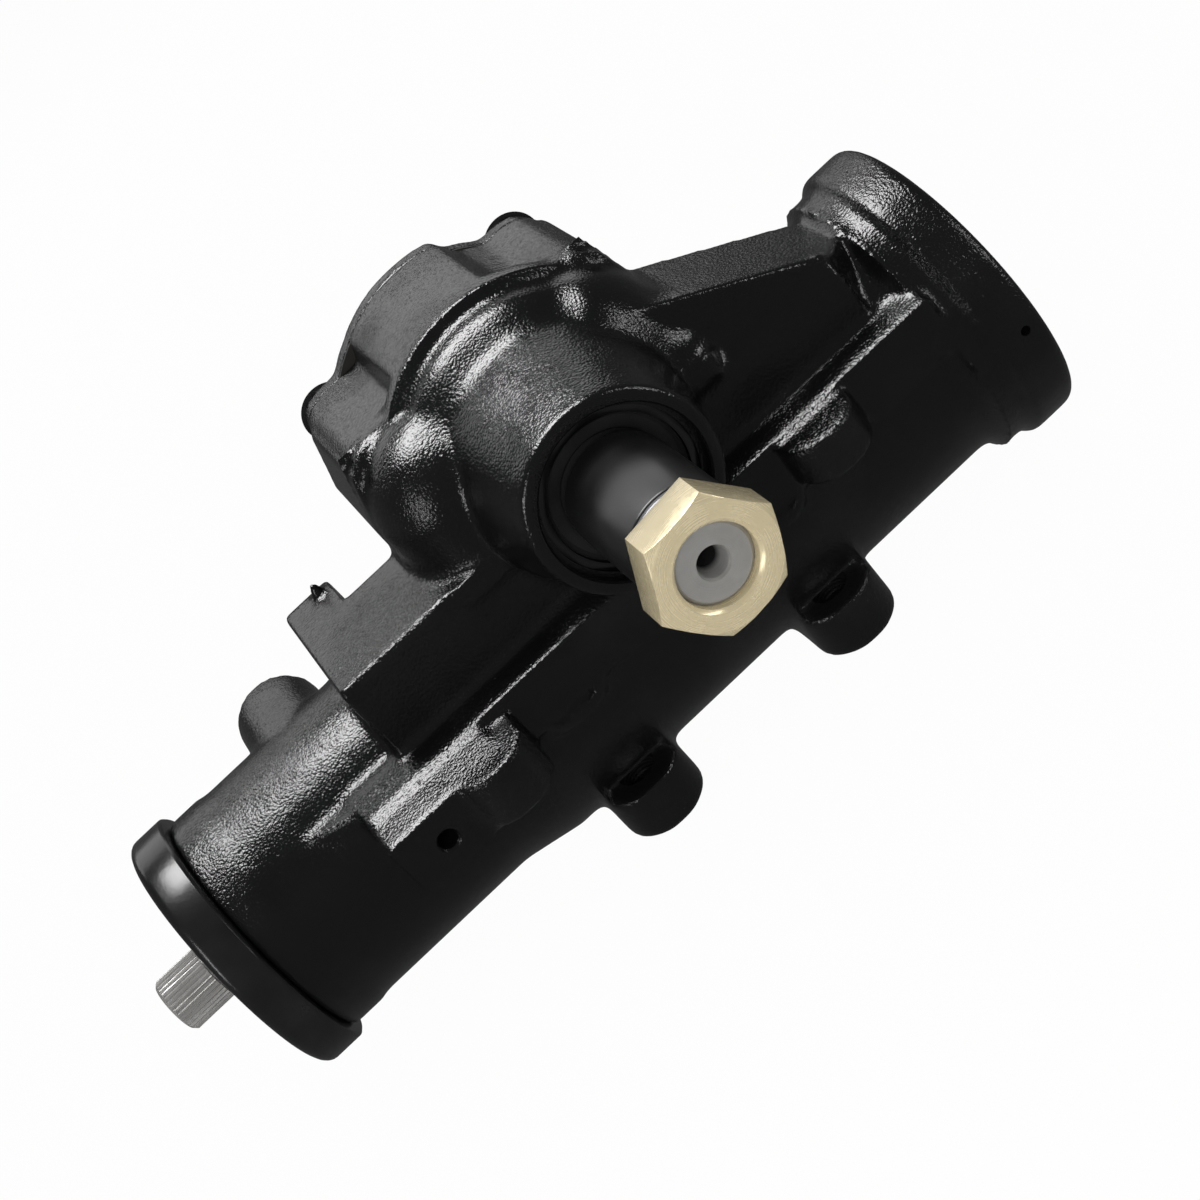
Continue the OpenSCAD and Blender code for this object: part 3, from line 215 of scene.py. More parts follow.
def makeTurnedMetal(name, color, dark, roughness, axis, centre, metal=1.0, holeShadeR=0.0, shadeFromY=None):
    ringHeight = latheMarks["ringHeight"]
    material, tree = newMaterial(name)
    where = tree.node("ShaderNodeTexCoord", out="Object")
    mapped = tree.node("ShaderNodeVectorMath", {"operation": "SUBTRACT"}, {0: where, 1: centre})
    split = tree.nodeTree.nodes.new("ShaderNodeSeparateXYZ")
    tree.nodeTree.links.new(mapped.socket, split.inputs[0])
    parts = [Wire(tree, split.outputs[i]) for i in range(3)]
    along = parts[axis]
    side = [parts[i] for i in range(3) if i != axis]
    radius = (side[0] * side[0] + side[1] * side[1]) ** 0.5
    rings = tree.node("ShaderNodeTexNoise", {"noise_dimensions": "1D"}, {
        "W": (radius + along) * latheMarks["ringsPerMetre"], "Scale": 1.0, "Detail": 3})
    cloud = tree.node("ShaderNodeTexNoise", {}, {
        "Vector": where, "Scale": 110, "Detail": 5, "Roughness": 0.6})
    specks = tree.node("ShaderNodeTexNoise", {}, {"Vector": where, "Scale": 1400, "Detail": 2})
    bump = tree.node("ShaderNodeBump", {}, {
        "Height": rings * ringHeight + specks * (0.4 * ringHeight), "Strength": 1.0, "Distance": 1.0})
    tone = tree.clamp((cloud - 0.3) * 1.5 * 0.6 + rings * 0.4)
    shade = tree.mixColor(tone, dark, color)
    if holeShadeR:
        # painted shade: the centre hole is darkened in its colour
        shade = tree.mixColor(tree.clamp((holeShadeR - radius) / latheMarks["edge"]), shade, grey(0.012))
    if shadeFromY is not None:
        # painted shade: the length that runs inside the seals and the boss is darkened in its colour
        shade = tree.mixColor(tree.clamp((along - shadeFromY) / latheMarks["edge"]), shade, grey(0.02))
    closeMaterial(tree, {
        "Base Color": shade, "Metallic": metal,
        "Roughness": tree.clamp(roughness + (cloud - 0.5) * 0.2 + (rings - 0.5) * 0.12, 0.06, 0.8),
        "Normal": bump})
    return material


sectorMid = tuple(sectorAxis)
wormMid = tuple(wormAxis)
bareSteel = {"color": (0.5, 0.495, 0.48, 1), "dark": (0.3, 0.295, 0.285, 1), "roughness": 0.34, "axis": 1,
             "centre": sectorMid, "metal": 0.5}
finishes = {
    "black_iron": makeCastPaint("castGlossPaint", castPaint),
    "black_cap": makeSatinBlack("capPaint", (0.006, 0.006, 0.0065, 1), 0.24, 700, 0.03 * mm),
    "black_bolt": makeSatinBlack("boltPaint", (0.007, 0.007, 0.0075, 1), 0.26, 900, 0.03 * mm),
    "sleeve_black": makeSatinBlack("sleevePlastic", (0.007, 0.007, 0.0075, 1), 0.33),
    "seal_rubber": makeSatinBlack("sealRubber", (0.008, 0.008, 0.008, 1), 0.5, 900, 0.04 * mm),
    "ring_plastic": makeSatinBlack("ringPlastic", (0.05, 0.035, 0.025, 1), 0.4),
    "gasket": makeSatinBlack("gasketFibre", (0.018, 0.017, 0.015, 1), 0.6, 2200, 0.06 * mm),
    "dark_steel": makeTurnedMetal(
        "phosphateSteel", (0.16, 0.16, 0.165, 1), (0.07, 0.07, 0.075, 1), 0.34, 1, sectorMid),
    "steel": makeTurnedMetal("groundSteel", (0.62, 0.62, 0.63, 1), (0.42, 0.42, 0.43, 1), 0.26, 0, wormMid),
    "bearing_steel": makeTurnedMetal(
        "bearingSteel", (0.72, 0.72, 0.74, 1), (0.55, 0.55, 0.57, 1), 0.16, 1, sectorMid),
    "bare_steel": makeTurnedMetal("bareSteel", **bareSteel),
    "bronze": makeTurnedMetal("bushBronze", (0.6, 0.36, 0.15, 1), (0.4, 0.22, 0.09, 1), 0.3, 1, sectorMid),
    "brass_seat": makeTurnedMetal(
        "seatBrass", (0.8, 0.56, 0.2, 1), (0.55, 0.36, 0.12, 1), 0.25, 1, sectorMid),
    "yellow_zinc": makeTurnedMetal(
        "yellowZinc", (0.8, 0.7, 0.47, 1), (0.66, 0.56, 0.35, 1), 0.26, 1, sectorMid, 0.42),
}
print("finishes:", len(finishes))

for name, node in cad.items():
    node.data.materials.clear()
    node.data.materials.append(finishes[slotOf[name]])

# the pitman shaft: painted shade in its centre hole, and painted shade along the length that runs inside the seals
pitmanShaft = {"holeShadeR": 3.9 * mm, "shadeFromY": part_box("spline_sleeve")[1].y - 1.0 * mm}
cad["sector_shaft"].data.materials[0] = makeTurnedMetal("pitmanSteel", **bareSteel, **pitmanShaft)


def newPiece(name, mesh):
    piece = bpy.data.objects.new(name, mesh)
    scene.collection.objects.link(piece)
    return piece


def bakeModifiers(piece):
    settled = piece.evaluated_get(bpy.context.evaluated_depsgraph_get())
    mesh = bpy.data.meshes.new_from_object(settled)
    piece.modifiers.clear()
    old = piece.data
    piece.data = mesh
    bpy.data.meshes.remove(old)


def shadeByAngle(piece, degrees):
    piece.data.shade_smooth()
    piece.data.set_sharp_from_angle(angle=math.radians(degrees))


def freedMesh(shape, name):
    mesh = bpy.data.meshes.new(name)
    shape.to_mesh(mesh)
    shape.free()
    return mesh


def mergedCopy(node):
    shape = bmesh.new()
    shape.from_mesh(cad[node].data)
    bmesh.ops.remove_doubles(shape, verts=shape.verts, dist=2e-6)
    return shape


# the piece takes the node's finish and body, and stands for it
def finishPiece(piece, node):
    piece.data.materials.clear()
    piece.data.materials.append(finishes[slotOf[node]])
    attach(piece, bodyOf[node])
    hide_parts(node)


# a closed solid of revolution from points of (radius, station) along an axis
def lathed(points, centre, axis, steps=96):
    turn = {"x": Matrix.Rotation(math.radians(90), 3, "Y"), "y": Matrix.Rotation(math.radians(-90), 3, "X"),
            "z": Matrix.Identity(3)}[axis]
    shape = bmesh.new()
    rings = []
    for radius, station in points:
        if radius < 1e-9:
            rings.append([shape.verts.new(centre + turn @ Vector((0, 0, station)))])
            continue
        ring = []
        for i in range(steps):
            angle = 2 * math.pi * i / steps
            ring.append(shape.verts.new(centre + turn @ Vector((
                radius * math.cos(angle), radius * math.sin(angle), station))))
        rings.append(ring)
    for first, second in zip(rings, rings[1:]):
        for i in range(steps):
            k = (i + 1) % steps
            corners = [first[i % len(first)], first[k % len(first)],
                       second[k % len(second)], second[i % len(second)]]
            corners = [v for n, v in enumerate(corners) if v not in corners[:n]]
            if len(corners) > 2:
                shape.faces.new(corners)
    bmesh.ops.recalc_face_normals(shape, faces=shape.faces)
    return freedMesh(shape, "turned")


def rod(centre, axis, radius, start, end, steps=64):
    return lathed([(0, start), (radius, start), (radius, end), (0, end)], centre, axis, steps)


def joined(meshes, name):
    shape = bmesh.new()
    for mesh in meshes:
        shape.from_mesh(mesh)
        bpy.data.meshes.remove(mesh)
    return freedMesh(shape, name)


# the large fillets lie round the sector axis, above the ledges of the saddles
deepFillet = {"reach": 64 * mm, "low": wormAxis.z + 56 * mm, "fade": 8 * mm}


# cast skin: remesh, then let the surface flow so that inner corners fill and outer edges soften
# after the first rounds only the part near the pitman boss goes on filling, where the fillets are large
def flowSurface(mesh, evenRounds, rounds, deepRounds, fill, wear):
    count = len(mesh.vertices)
    points = np.empty(count * 3)
    mesh.vertices.foreach_get("co", points)
    points = points.reshape(-1, 3)
    edges = np.empty(len(mesh.edges) * 2, dtype=np.int64)
    mesh.edges.foreach_get("vertices", edges)
    first, second = edges.reshape(-1, 2).T
    degree = np.bincount(np.concatenate([first, second]), minlength=count).astype(float)
    normals = np.empty(count * 3)
    fromAxis = np.hypot(points[:, 0] - sectorAxis.x, points[:, 2] - sectorAxis.z)
    deep = np.clip((deepFillet["reach"] - fromAxis) / deepFillet["fade"], 0, 1)
    deep *= np.clip((points[:, 2] - deepFillet["low"]) / deepFillet["fade"], 0, 1)
    for step in range(deepRounds):
        if step % 6 == 0:
            mesh.vertices.foreach_set("co", points.ravel())
            mesh.update()
            mesh.vertices.foreach_get("normal", normals)
            outward = normals.reshape(-1, 3)
        mean = np.empty_like(points)
        for k in range(3):
            mean[:, k] = (np.bincount(first, points[second, k], count)
                          + np.bincount(second, points[first, k], count)) / degree
        pull = mean - points
        lift = np.einsum("ij,ij->i", pull, outward)
        share = np.where(lift > 0, fill, wear) if step >= evenRounds else np.full(count, 0.5)
        share *= deep if step >= rounds else 1
        points = points + pull * share[:, None]
    mesh.vertices.foreach_set("co", points.ravel())
    mesh.update()


def remeshed(piece, voxel):
    remesh = piece.modifiers.new("skin", "REMESH")
    remesh.mode = "VOXEL"
    remesh.voxel_size = voxel
    remesh.adaptivity = 0
    bakeModifiers(piece)


def castSkin(name, mesh, voxel, keep, cutter=None, added=(), **flow):
    piece = newPiece(name, mesh)
    remeshed(piece, voxel)
    if cutter:
        carve(piece, cutter)
        carved = piece.data
        piece.data = joined([carved.copy(), *added], name)
        bpy.data.meshes.remove(carved)
        remeshed(piece, voxel)
    flowSurface(piece.data, **flow)
    thin = piece.modifiers.new("thin", "DECIMATE")
    thin.ratio = keep
    bakeModifiers(piece)
    return piece


# a closed solid between two height fields, front and back, over a grid of x and z
def fieldSolid(name, x, z, front, back):
    rows, columns = x.shape
    points = np.concatenate([np.stack([x, y, z], -1).reshape(-1, 3) for y in (front, back)])
    index = np.arange(rows * columns).reshape(rows, columns)
    cells = np.stack([index[:-1, :-1], index[:-1, 1:], index[1:, 1:], index[1:, :-1]], -1).reshape(-1, 4)
    rim = np.concatenate([index[0, :], index[1:, -1], index[-1, -2::-1], index[-2:0:-1, 0]])
    after = np.roll(rim, -1)
    behind = rows * columns
    walls = np.stack([rim, rim + behind, after + behind, after], -1)
    mesh = bpy.data.meshes.new(name)
    mesh.from_pydata(points.tolist(), [], np.concatenate([cells, cells[:, ::-1] + behind, walls]).tolist())
    shape = bmesh.new()
    shape.from_mesh(mesh)
    bmesh.ops.recalc_face_normals(shape, faces=shape.faces)
    shape.to_mesh(mesh)
    shape.free()
    return mesh


def carve(piece, cutterMesh):
    cutter = newPiece("cutter", cutterMesh)
    cut = piece.modifiers.new("carve", "BOOLEAN")
    cut.object = cutter
    cut.operation = "DIFFERENCE"
    cut.solver = "MANIFOLD"
    bakeModifiers(piece)
    bpy.data.objects.remove(cutter)
    bpy.data.meshes.remove(cutterMesh)


housingLow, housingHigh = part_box("housing")
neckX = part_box("adjuster_locknut")[1].x
flangeX = housingHigh.x
bossY = housingLow.y
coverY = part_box("side_cover_gasket")[0].y

coverBolt = {"flangeR": 10.4 * mm, "flangeH": 1.6 * mm, "flangeTaper": 0.9, "hexR": 7.0 * mm,
             "hexH": 6.5 * mm, "top": 0.9 * mm, "topTaper": 0.86, "edge": 0.3 * mm}
housingLook = {"voxel": 1.0 * mm, "keep": 0.42, "evenRounds": 4, "rounds": 16, "deepRounds": 24, "fill": 0.5,
               "wear": 0.04}

# the shoulders beside the boss, in millimetres from the sector axis: a large round over the front corners
shoulder = {"front": -38.5, "middle": -4, "half": 57, "lobeHalf": 51.5, "knee": 15, "top": 39, "round": 27,
            "low": -3, "rightFade": 20, "square": 2.5, "webFront": -31.5, "webX": 54, "webRise": 14.5,
            "webSlope": 0.545, "bossFront": -75, "lobeFront": -9, "inside": -2, "skin": 0.2,
            "leastShare": 0.3, "overCut": 1.02, "columns": 121, "rows": 56}
# the boss root: the boss swells in a long double curve up to the ring in front of the crest
bossRoot = {"noseR": 32, "noseEdge": 0.8, "rootR": 40, "rootY": -29, "ringR": 48, "ringY": -14,
            "ringSlope": 0.14, "stepY": -8, "backR": 52.7, "fall": 0.9, "lowTurn": 0.7, "highTurn": 0.9,
            "steps": 16}


def shoulderHalf(z):
    rise = np.clip((z - shoulder["knee"]) / (shoulder["top"] - shoulder["knee"]), 0, 1)
    return shoulder["half"] + (shoulder["lobeHalf"] - shoulder["half"]) * rise


def underWeb(x, z):
    webTop = shoulder["webRise"] + shoulder["webSlope"] * (shoulder["webX"] - x)
    return (x > shoulder["middle"]) & (z < webTop)


def shoulderFront(x, z):
    radius = shoulder["round"]
    over = np.clip(np.abs(x - shoulder["middle"]) - shoulderHalf(z) + radius, 0, None)
    above = np.clip(z - shoulder["top"] + radius, 0, None)
    reach = (over ** shoulder["square"] + above ** shoulder["square"]) ** (1 / shoulder["square"])
    beyond = reach >= radius
    reach = np.minimum(reach, radius)
    right = x > shoulder["middle"]
    fade = np.clip((z - shoulder["low"]) / shoulder["rightFade"], shoulder["leastShare"], 1)
    share = np.where(right, fade, 1)
    depth = shoulder["lobeFront"] - shoulder["front"]
    front = shoulder["front"] + depth * (1 - np.sqrt(1 - (reach / radius) ** 2)) * share
    front = np.where(beyond, shoulder["lobeFront"], front)
    # above, the swell of the boss root cuts into the shoulders, which fall away outside it
    fromAxis = np.hypot(x, z)
    hollow = np.interp(fromAxis, *zip(*rootCurve()))
    hollow -= bossRoot["fall"] * np.clip(fromAxis - bossRoot["ringR"], 0, None)
    turn = np.clip((z / fromAxis - bossRoot["lowTurn"]) / (bossRoot["highTurn"] - bossRoot["lowTurn"]), 0, 1)
    front += np.clip(hollow - front, 0, None) * turn * turn * (3 - 2 * turn)
    return np.where(underWeb(x, z), np.minimum(front, shoulder["webFront"]), front)


def shoulderGrid(lowZ, highZ, widen):
    across = np.linspace(-widen, widen, shoulder["columns"])
    side, z = np.meshgrid(across, np.linspace(lowZ, highZ, shoulder["rows"]), indexing="ij")
    return shoulder["middle"] + side * shoulderHalf(z), z


def shoulderSolid(name, x, z, front, back):
    return fieldSolid(name, sectorAxis.x + x * mm, sectorAxis.z + z * mm, front * mm, back * mm)


def shoulderFiller():
    x, z = shoulderGrid(shoulder["low"], shoulder["top"], 1.0)
    front = shoulderFront(x, z)
    front = np.where(front >= shoulder["lobeFront"], shoulder["inside"] - shoulder["skin"], front)
    return shoulderSolid("shoulderFiller", x, z, front, np.full_like(x, shoulder["inside"]))


def shoulderCutter():
    x, z = shoulderGrid(shoulder["low"], bossRoot["backR"], shoulder["overCut"])
    back = np.where(underWeb(x, z), shoulder["webFront"], shoulder["lobeFront"])
    return shoulderSolid("shoulderCutter", x, z, np.full_like(x, shoulder["bossFront"]), back)


def rootCurve():
    # from the boss's own taper to the ring's, as one cubic
    span = bossRoot["ringY"] - bossRoot["rootY"]
    rise = bossRoot["ringR"] - bossRoot["rootR"]
    taper = (bossRoot["rootR"] - bossRoot["noseR"]) / (bossRoot["rootY"] - bossY / mm)
    points = []
    for i in range(bossRoot["steps"] + 1):
        t = i / bossRoot["steps"]
        swell = rise * t * t * (3 - 2 * t)
        swell += span * (taper * t * (1 - t) ** 2 - bossRoot["ringSlope"] * t * t * (1 - t))
        points.append((bossRoot["rootR"] + swell, bossRoot["rootY"] + span * t))
    return points


def bossFiller():
    noseR, noseY = bossRoot["noseR"], bossY / mm
    ringR = bossRoot["ringR"] + bossRoot["ringSlope"] * (bossRoot["stepY"] - bossRoot["ringY"])
    outline = [(0, noseY), (noseR - bossRoot["noseEdge"], noseY), (noseR, noseY + bossRoot["noseEdge"])]
    outline += rootCurve() + [(ringR, bossRoot["stepY"]), (bossRoot["backR"], bossRoot["stepY"])]
    outline += [(bossRoot["backR"], 0), (0, 0)]
    return lathed([(r * mm, y * mm) for r, y in outline], Vector((sectorAxis.x, 0, sectorAxis.z)), "y", 128)


overRun = 1 * mm  # how far a cutter passes the face that it opens
midX = Vector((0, wormAxis.y, wormAxis.z))
midY = Vector((sectorAxis.x, 0, sectorAxis.z))
# clearances, steps and grooves of the machined bores
bores = {"fit": 0.05 * mm, "plugFit": 0.2 * mm, "valveFit": 0.03 * mm, "wall": 9 * mm, "wallR": 16 * mm,
         "endGroove": 2 * mm, "lead": 0.8 * mm, "leadIn": 0.6 * mm, "leadOut": 0.2 * mm,
         "snapGroove": 1.2 * mm, "snapLand": 0.5 * mm, "mouthStep": 1.7 * mm, "mouthEdge": 0.6 * mm,
         "chamber": 4 * mm, "toothRoom": 0.9 * mm}


def boreCutters():
    # the worm bores from end to end
    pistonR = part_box("rack_piston")[1].y + bores["fit"]
    plugR = roundR("adjuster_plug") + bores["plugFit"]
    valveR = roundR("valve_rings") + bores["valveFit"]
    endR = roundR("end_plug") + bores["fit"]
    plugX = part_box("adjuster_plug")[1].x
    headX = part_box("lower_thrust_bearing")[1].x
    wallX = headX + bores["wall"]
    wallR = bores["wallR"]
    grooveR, leadR = endR + bores["endGroove"], endR + bores["lead"]
    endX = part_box("end_plug")[0].x
    ringX0, ringX1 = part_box("end_plug_retaining_ring")[0].x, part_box("end_plug_retaining_ring")[1].x
    worm = lathed([
        (0, neckX - overRun), (plugR, neckX - overRun), (plugR, plugX), (valveR, plugX), (valveR, headX),
        (wallR, headX), (wallR, wallX), (pistonR, wallX), (pistonR, endX), (endR, endX), (endR, ringX0),
        (grooveR, ringX0), (grooveR, ringX1), (endR, ringX1), (endR, flangeX - bores["leadIn"]),
        (leadR, flangeX + bores["leadOut"]), (leadR, flangeX + overRun), (0, flangeX + overRun)],
        midX, "x", 144)
    # the sector bores from the boss face to the cover
    sealR = roundR("sector_outer_seal")
    cupR = roundR("sector_bearing_cup")
    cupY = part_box("sector_bearing_cup")[0].y
    ringY0, ringY1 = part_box("sector_snap_ring")[0].y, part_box("sector_snap_ring")[1].y
    landY = ringY0 - bores["snapLand"]
    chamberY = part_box("sector_bearing_cup")[1].y + bores["chamber"]
    mouthR, snapR = sealR + bores["mouthStep"], sealR + bores["snapGroove"]
    lipR = mouthR + bores["mouthEdge"]
    toothR = sectorAxis.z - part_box("sector_shaft")[0].z + bores["toothRoom"]
    sector = lathed([
        (0, bossY - overRun), (lipR, bossY - overRun), (lipR, bossY), (mouthR, bossY + bores["mouthEdge"]),
        (mouthR, landY), (sealR, landY), (sealR, ringY0), (snapR, ringY0), (snapR, ringY1), (sealR, ringY1),
        (sealR, cupY), (cupR, cupY), (cupR, chamberY), (toothR, chamberY), (toothR, coverY + overRun),
        (0, coverY + overRun)], midY, "y", 128)
    return [worm, sector]


def boltHoles():
    bolts = mounts["frame_bolts"]["dims"]
    places = []
    for i in (-1, 1):
        for k in (-1, 1):
            places.append(Vector((i * bolts["spacing_x_mm"] / 2, k * bolts["spacing_y_mm"] / 2, 0)) * mm)
    return places, bolts["hole_r_mm"] * mm


lug = {"depth": 18 * mm, "lip": 0.9 * mm}
portMouth = {"lip": 1.4 * mm, "lipIn": 1.2 * mm, "lipOut": 0.2 * mm}
ports = ("pressure_port", "return_port")


def smallCutters():
    places, holeR = boltHoles()
    deep, lip = lug["depth"], lug["lip"]
    cutters = []
    for place in places:
        cutters.append(lathed([
            (0, -overRun), (holeR + lip, -overRun), (holeR + lip, 0), (holeR, lip), (holeR, deep - lip),
            (holeR + lip, deep), (holeR + lip, deep + overRun), (0, deep + overRun)], place, "z", 48))
    for port in ports:
        mouth = Vector(mounts[port]["pos_m"])
        portR, depth = mounts[port]["dims"]["r_mm"] * mm, mounts[port]["dims"]["length_mm"] * mm
        lipR = portR + portMouth["lip"]
        seatR = roundR(port + "_seat")
        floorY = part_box(port + "_seat")[0].y - mouth.y
        cutters.append(lathed([
            (0, floorY), (seatR, floorY), (seatR, -depth), (portR, -depth), (portR, -portMouth["lipIn"]),
            (lipR, portMouth["lipOut"]), (lipR, overRun), (0, overRun)], mouth, "y", 64))
    return cutters


# the tapped hole in the near clamping pad, and the punch hole in the end flange
padHole = {"place": Vector((-98.43, -65, 62.8)) * mm, "radius": 3.3 * mm, "depth": 12 * mm, "tip": 2 * mm,
           "lip": 0.7 * mm, "lipDepth": 0.8 * mm}
ringLow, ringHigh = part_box("end_plug_retaining_ring")
punchHole = {"place": Vector(((ringLow.x + ringHigh.x) / 2, 0, wormAxis.z)), "radius": 1.7 * mm,
             "flangeR": 56 * mm, "depth": 8 * mm}


def sideCutters():
    radius, depth = padHole["radius"], padHole["depth"]
    lipR = radius + padHole["lip"]
    pad = lathed([(0, -overRun), (lipR, -overRun), (lipR, 0), (radius, padHole["lipDepth"]), (radius, depth),
                  (0, depth + padHole["tip"])], padHole["place"], "y", 32)
    faceY = -punchHole["flangeR"]
    punch = rod(punchHole["place"], "y", punchHole["radius"], faceY - overRun, faceY + punchHole["depth"], 24)
    return [pad, punch]


# short plugs of (radius, depth) close each mouth, so that the skin has no inner walls
plugs = {"input": (37.5 * mm, 6 * mm), "end": (51.5 * mm, 12 * mm), "boss": (29 * mm, 7 * mm),
         "cover": (44 * mm, 6 * mm), "port": (10 * mm, 6 * mm), "pad": (4.2 * mm, 6 * mm),
         "bolt": (5.5 * mm, 5 * mm), "lugOver": 1 * mm, "punchR": 2.6 * mm, "punchY": (-55.7 * mm, -51 * mm)}


def plugIn(name, place, axis, face, way, steps=64):
    radius, depth = plugs[name]
    return rod(place, axis, radius, min(face, face + way * depth), max(face, face + way * depth), steps)


def makeHousing():
    fillers = [freedMesh(mergedCopy("housing"), "housingFilled"),
               plugIn("input", midX, "x", neckX, 1), plugIn("end", midX, "x", flangeX, -1),
               plugIn("boss", midY, "y", bossY, 1), plugIn("cover", midY, "y", coverY, -1)]
    places, holeR = boltHoles()
    fillers += [rod(place, "z", holeR + plugs["lugOver"], 0, lug["depth"], 24) for place in places]
    fillers += [plugIn("port", Vector(mounts[port]["pos_m"]), "y", 0, -1, 32) for port in ports]
    fillers.append(plugIn("pad", padHole["place"], "y", 0, 1, 24))
    fillers.append(rod(punchHole["place"], "y", plugs["punchR"], *plugs["punchY"], 16))
    boltLow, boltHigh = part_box("side_cover_bolts")
    for x in (boltLow.x, boltHigh.x):
        for z in (boltLow.z, boltHigh.z):
            inX = x + math.copysign(coverBolt["flangeR"], sectorAxis.x - x)
            inZ = z + math.copysign(coverBolt["flangeR"], sectorAxis.z - z)
            fillers.append(plugIn("bolt", Vector((inX, 0, inZ)), "y", coverY, -1, 24))
    piece = castSkin("housingCasting", joined(fillers, "housingFilled"), cutter=shoulderCutter(),
                     added=[shoulderFiller(), bossFiller()], **housingLook)
    for cutter in boreCutters():
        carve(piece, cutter)
    carve(piece, joined(smallCutters(), "holes"))
    carve(piece, joined(sideCutters(), "sideHoles"))
    shadeByAngle(piece, 38)
    finishPiece(piece, "housing")
    print("housing triangles:", sum(len(p.vertices) - 2 for p in piece.data.polygons))


makeHousing()


# machined pieces: the exact shape with its edges broken
def makeMachined(node, edge, segments=2, limit=32):
    shape = mergedCopy(node)
    bmesh.ops.dissolve_limit(shape, angle_limit=math.radians(0.6), verts=shape.verts, edges=shape.edges)
    piece = newPiece(node + "_machined", freedMesh(shape, node + "Machined"))
    bevel = piece.modifiers.new("edge", "BEVEL")
    bevel.width = edge
    bevel.segments = segments
    bevel.limit_method = "ANGLE"
    bevel.angle_limit = math.radians(limit)
    bakeModifiers(piece)
    shadeByAngle(piece, limit)
    finishPiece(piece, node)


machinedEdges = {
    "pitman_nut": 0.45 * mm, "lock_washer": 0.5 * mm, "spline_sleeve": 0.4 * mm, "adjuster_locknut": 0.5 * mm,
    "end_plug": 0.4 * mm, "end_plug_retaining_ring": 0.3 * mm, "sector_snap_ring": 0.25 * mm,
    "lash_locknut": 0.4 * mm, "lash_adjuster_screw": 0.3 * mm, "adjuster_plug": 0.3 * mm,
}
for node, edge in machinedEdges.items():
    makeMachined(node, edge)
print("machined pieces:", len(machinedEdges))

coverLook = {"voxel": 1.0 * mm, "keep": 0.4, "evenRounds": 6, "rounds": 20, "deepRounds": 20, "fill": 0.5,
             "wear": 0.08}


def makeSideCover():
    piece = castSkin("sideCoverCasting", freedMesh(mergedCopy("side_cover"), "coverFilled"), **coverLook)
    shadeByAngle(piece, 40)
    finishPiece(piece, "side_cover")


makeSideCover()
print("side cover made")


# geometry nodes for what repeats
def newGroup(name, inputs):
    group = bpy.data.node_groups.new(name, "GeometryNodeTree")
    group.interface.new_socket("Geometry", in_out="INPUT", socket_type="NodeSocketGeometry")
    for label, kind in inputs.items():
        group.interface.new_socket(label, in_out="INPUT", socket_type=kind)
    group.interface.new_socket("Geometry", in_out="OUTPUT", socket_type="NodeSocketGeometry")
    tree = Tree(group)
    source = group.nodes.new("NodeGroupInput")
    wires = {socket.name: Wire(tree, socket) for socket in source.outputs if socket.name}
    return group, tree, wires


def closeGroup(tree, geometry, material):
    real = tree.node("GeometryNodeRealizeInstances", {}, {"Geometry": geometry})
    dressed = tree.node("GeometryNodeSetMaterial", {}, {"Geometry": real, "Material": material})
    tree.node("NodeGroupOutput", {}, {"Geometry": dressed})


def growPiece(name, places, group, values):
    mesh = bpy.data.meshes.new(name)
    mesh.from_pydata([tuple(place) for place in places], [], [])
    piece = newPiece(name, mesh)
    modifier = piece.modifiers.new("grow", "NODES")
    modifier.node_group = group
    for item in group.interface.items_tree:
        if item.in_out == "INPUT" and item.name in values:
            modifier[item.identifier] = values[item.name]
    bakeModifiers(piece)
    return piece


def threadGroup(turn):
    group, tree, wires = newGroup("threadTurns", {
        "Radius": "NodeSocketFloat", "Pitch": "NodeSocketFloat", "Length": "NodeSocketFloat",
        "Depth": "NodeSocketFloat", "Material": "NodeSocketMaterial"})
    spiral = tree.node("GeometryNodeCurveSpiral", {}, {
        "Resolution": 40, "Rotations": wires["Length"] / wires["Pitch"], "Start Radius": wires["Radius"],
        "End Radius": wires["Radius"], "Height": wires["Length"]})
    ridge = tree.node("GeometryNodeCurvePrimitiveCircle", {}, {"Resolution": 4, "Radius": wires["Depth"]})
    tube = tree.node("GeometryNodeCurveToMesh", {}, {
        "Curve": spiral, "Profile Curve": ridge, "Fill Caps": True})
    spots = tree.node("GeometryNodeMeshToPoints", {}, {"Mesh": wires["Geometry"]})
    copies = tree.node("GeometryNodeInstanceOnPoints", {}, {
        "Points": spots, "Instance": tube, "Rotation": turn})
    closeGroup(tree, copies, wires["Material"])
    return group


thread = {"pitch": 1.5 * mm, "depth": 0.5 * mm, "lugInset": 1.5 * mm, "portFloor": 0.8 * mm,
          "portShort": 2.4 * mm}


def makeThreads():
    places, holeR = boltHoles()
    values = {"Radius": holeR, "Pitch": thread["pitch"], "Length": lug["depth"] - 2 * thread["lugInset"],
              "Depth": thread["depth"], "Material": finishes["black_bolt"]}
    lugs = growPiece("lugThreads", [place + Vector((0, 0, thread["lugInset"])) for place in places],
                     threadGroup((0, 0, 0)), values)
    portSize = mounts["pressure_port"]["dims"]
    depth = portSize["length_mm"] * mm
    floors = [Vector(mounts[port]["pos_m"]) - Vector((0, depth - thread["portFloor"], 0)) for port in ports]
    values = {"Radius": portSize["r_mm"] * mm, "Pitch": thread["pitch"], "Depth": thread["depth"],
              "Length": depth - thread["portShort"], "Material": finishes["steel"]}
    portTurns = growPiece("portThreads", floors, threadGroup((math.radians(-90), 0, 0)), values)
    for piece in (lugs, portTurns):
        shadeByAngle(piece, 40)
        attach(piece, bodyOf["housing"])


makeThreads()
print("threads made")


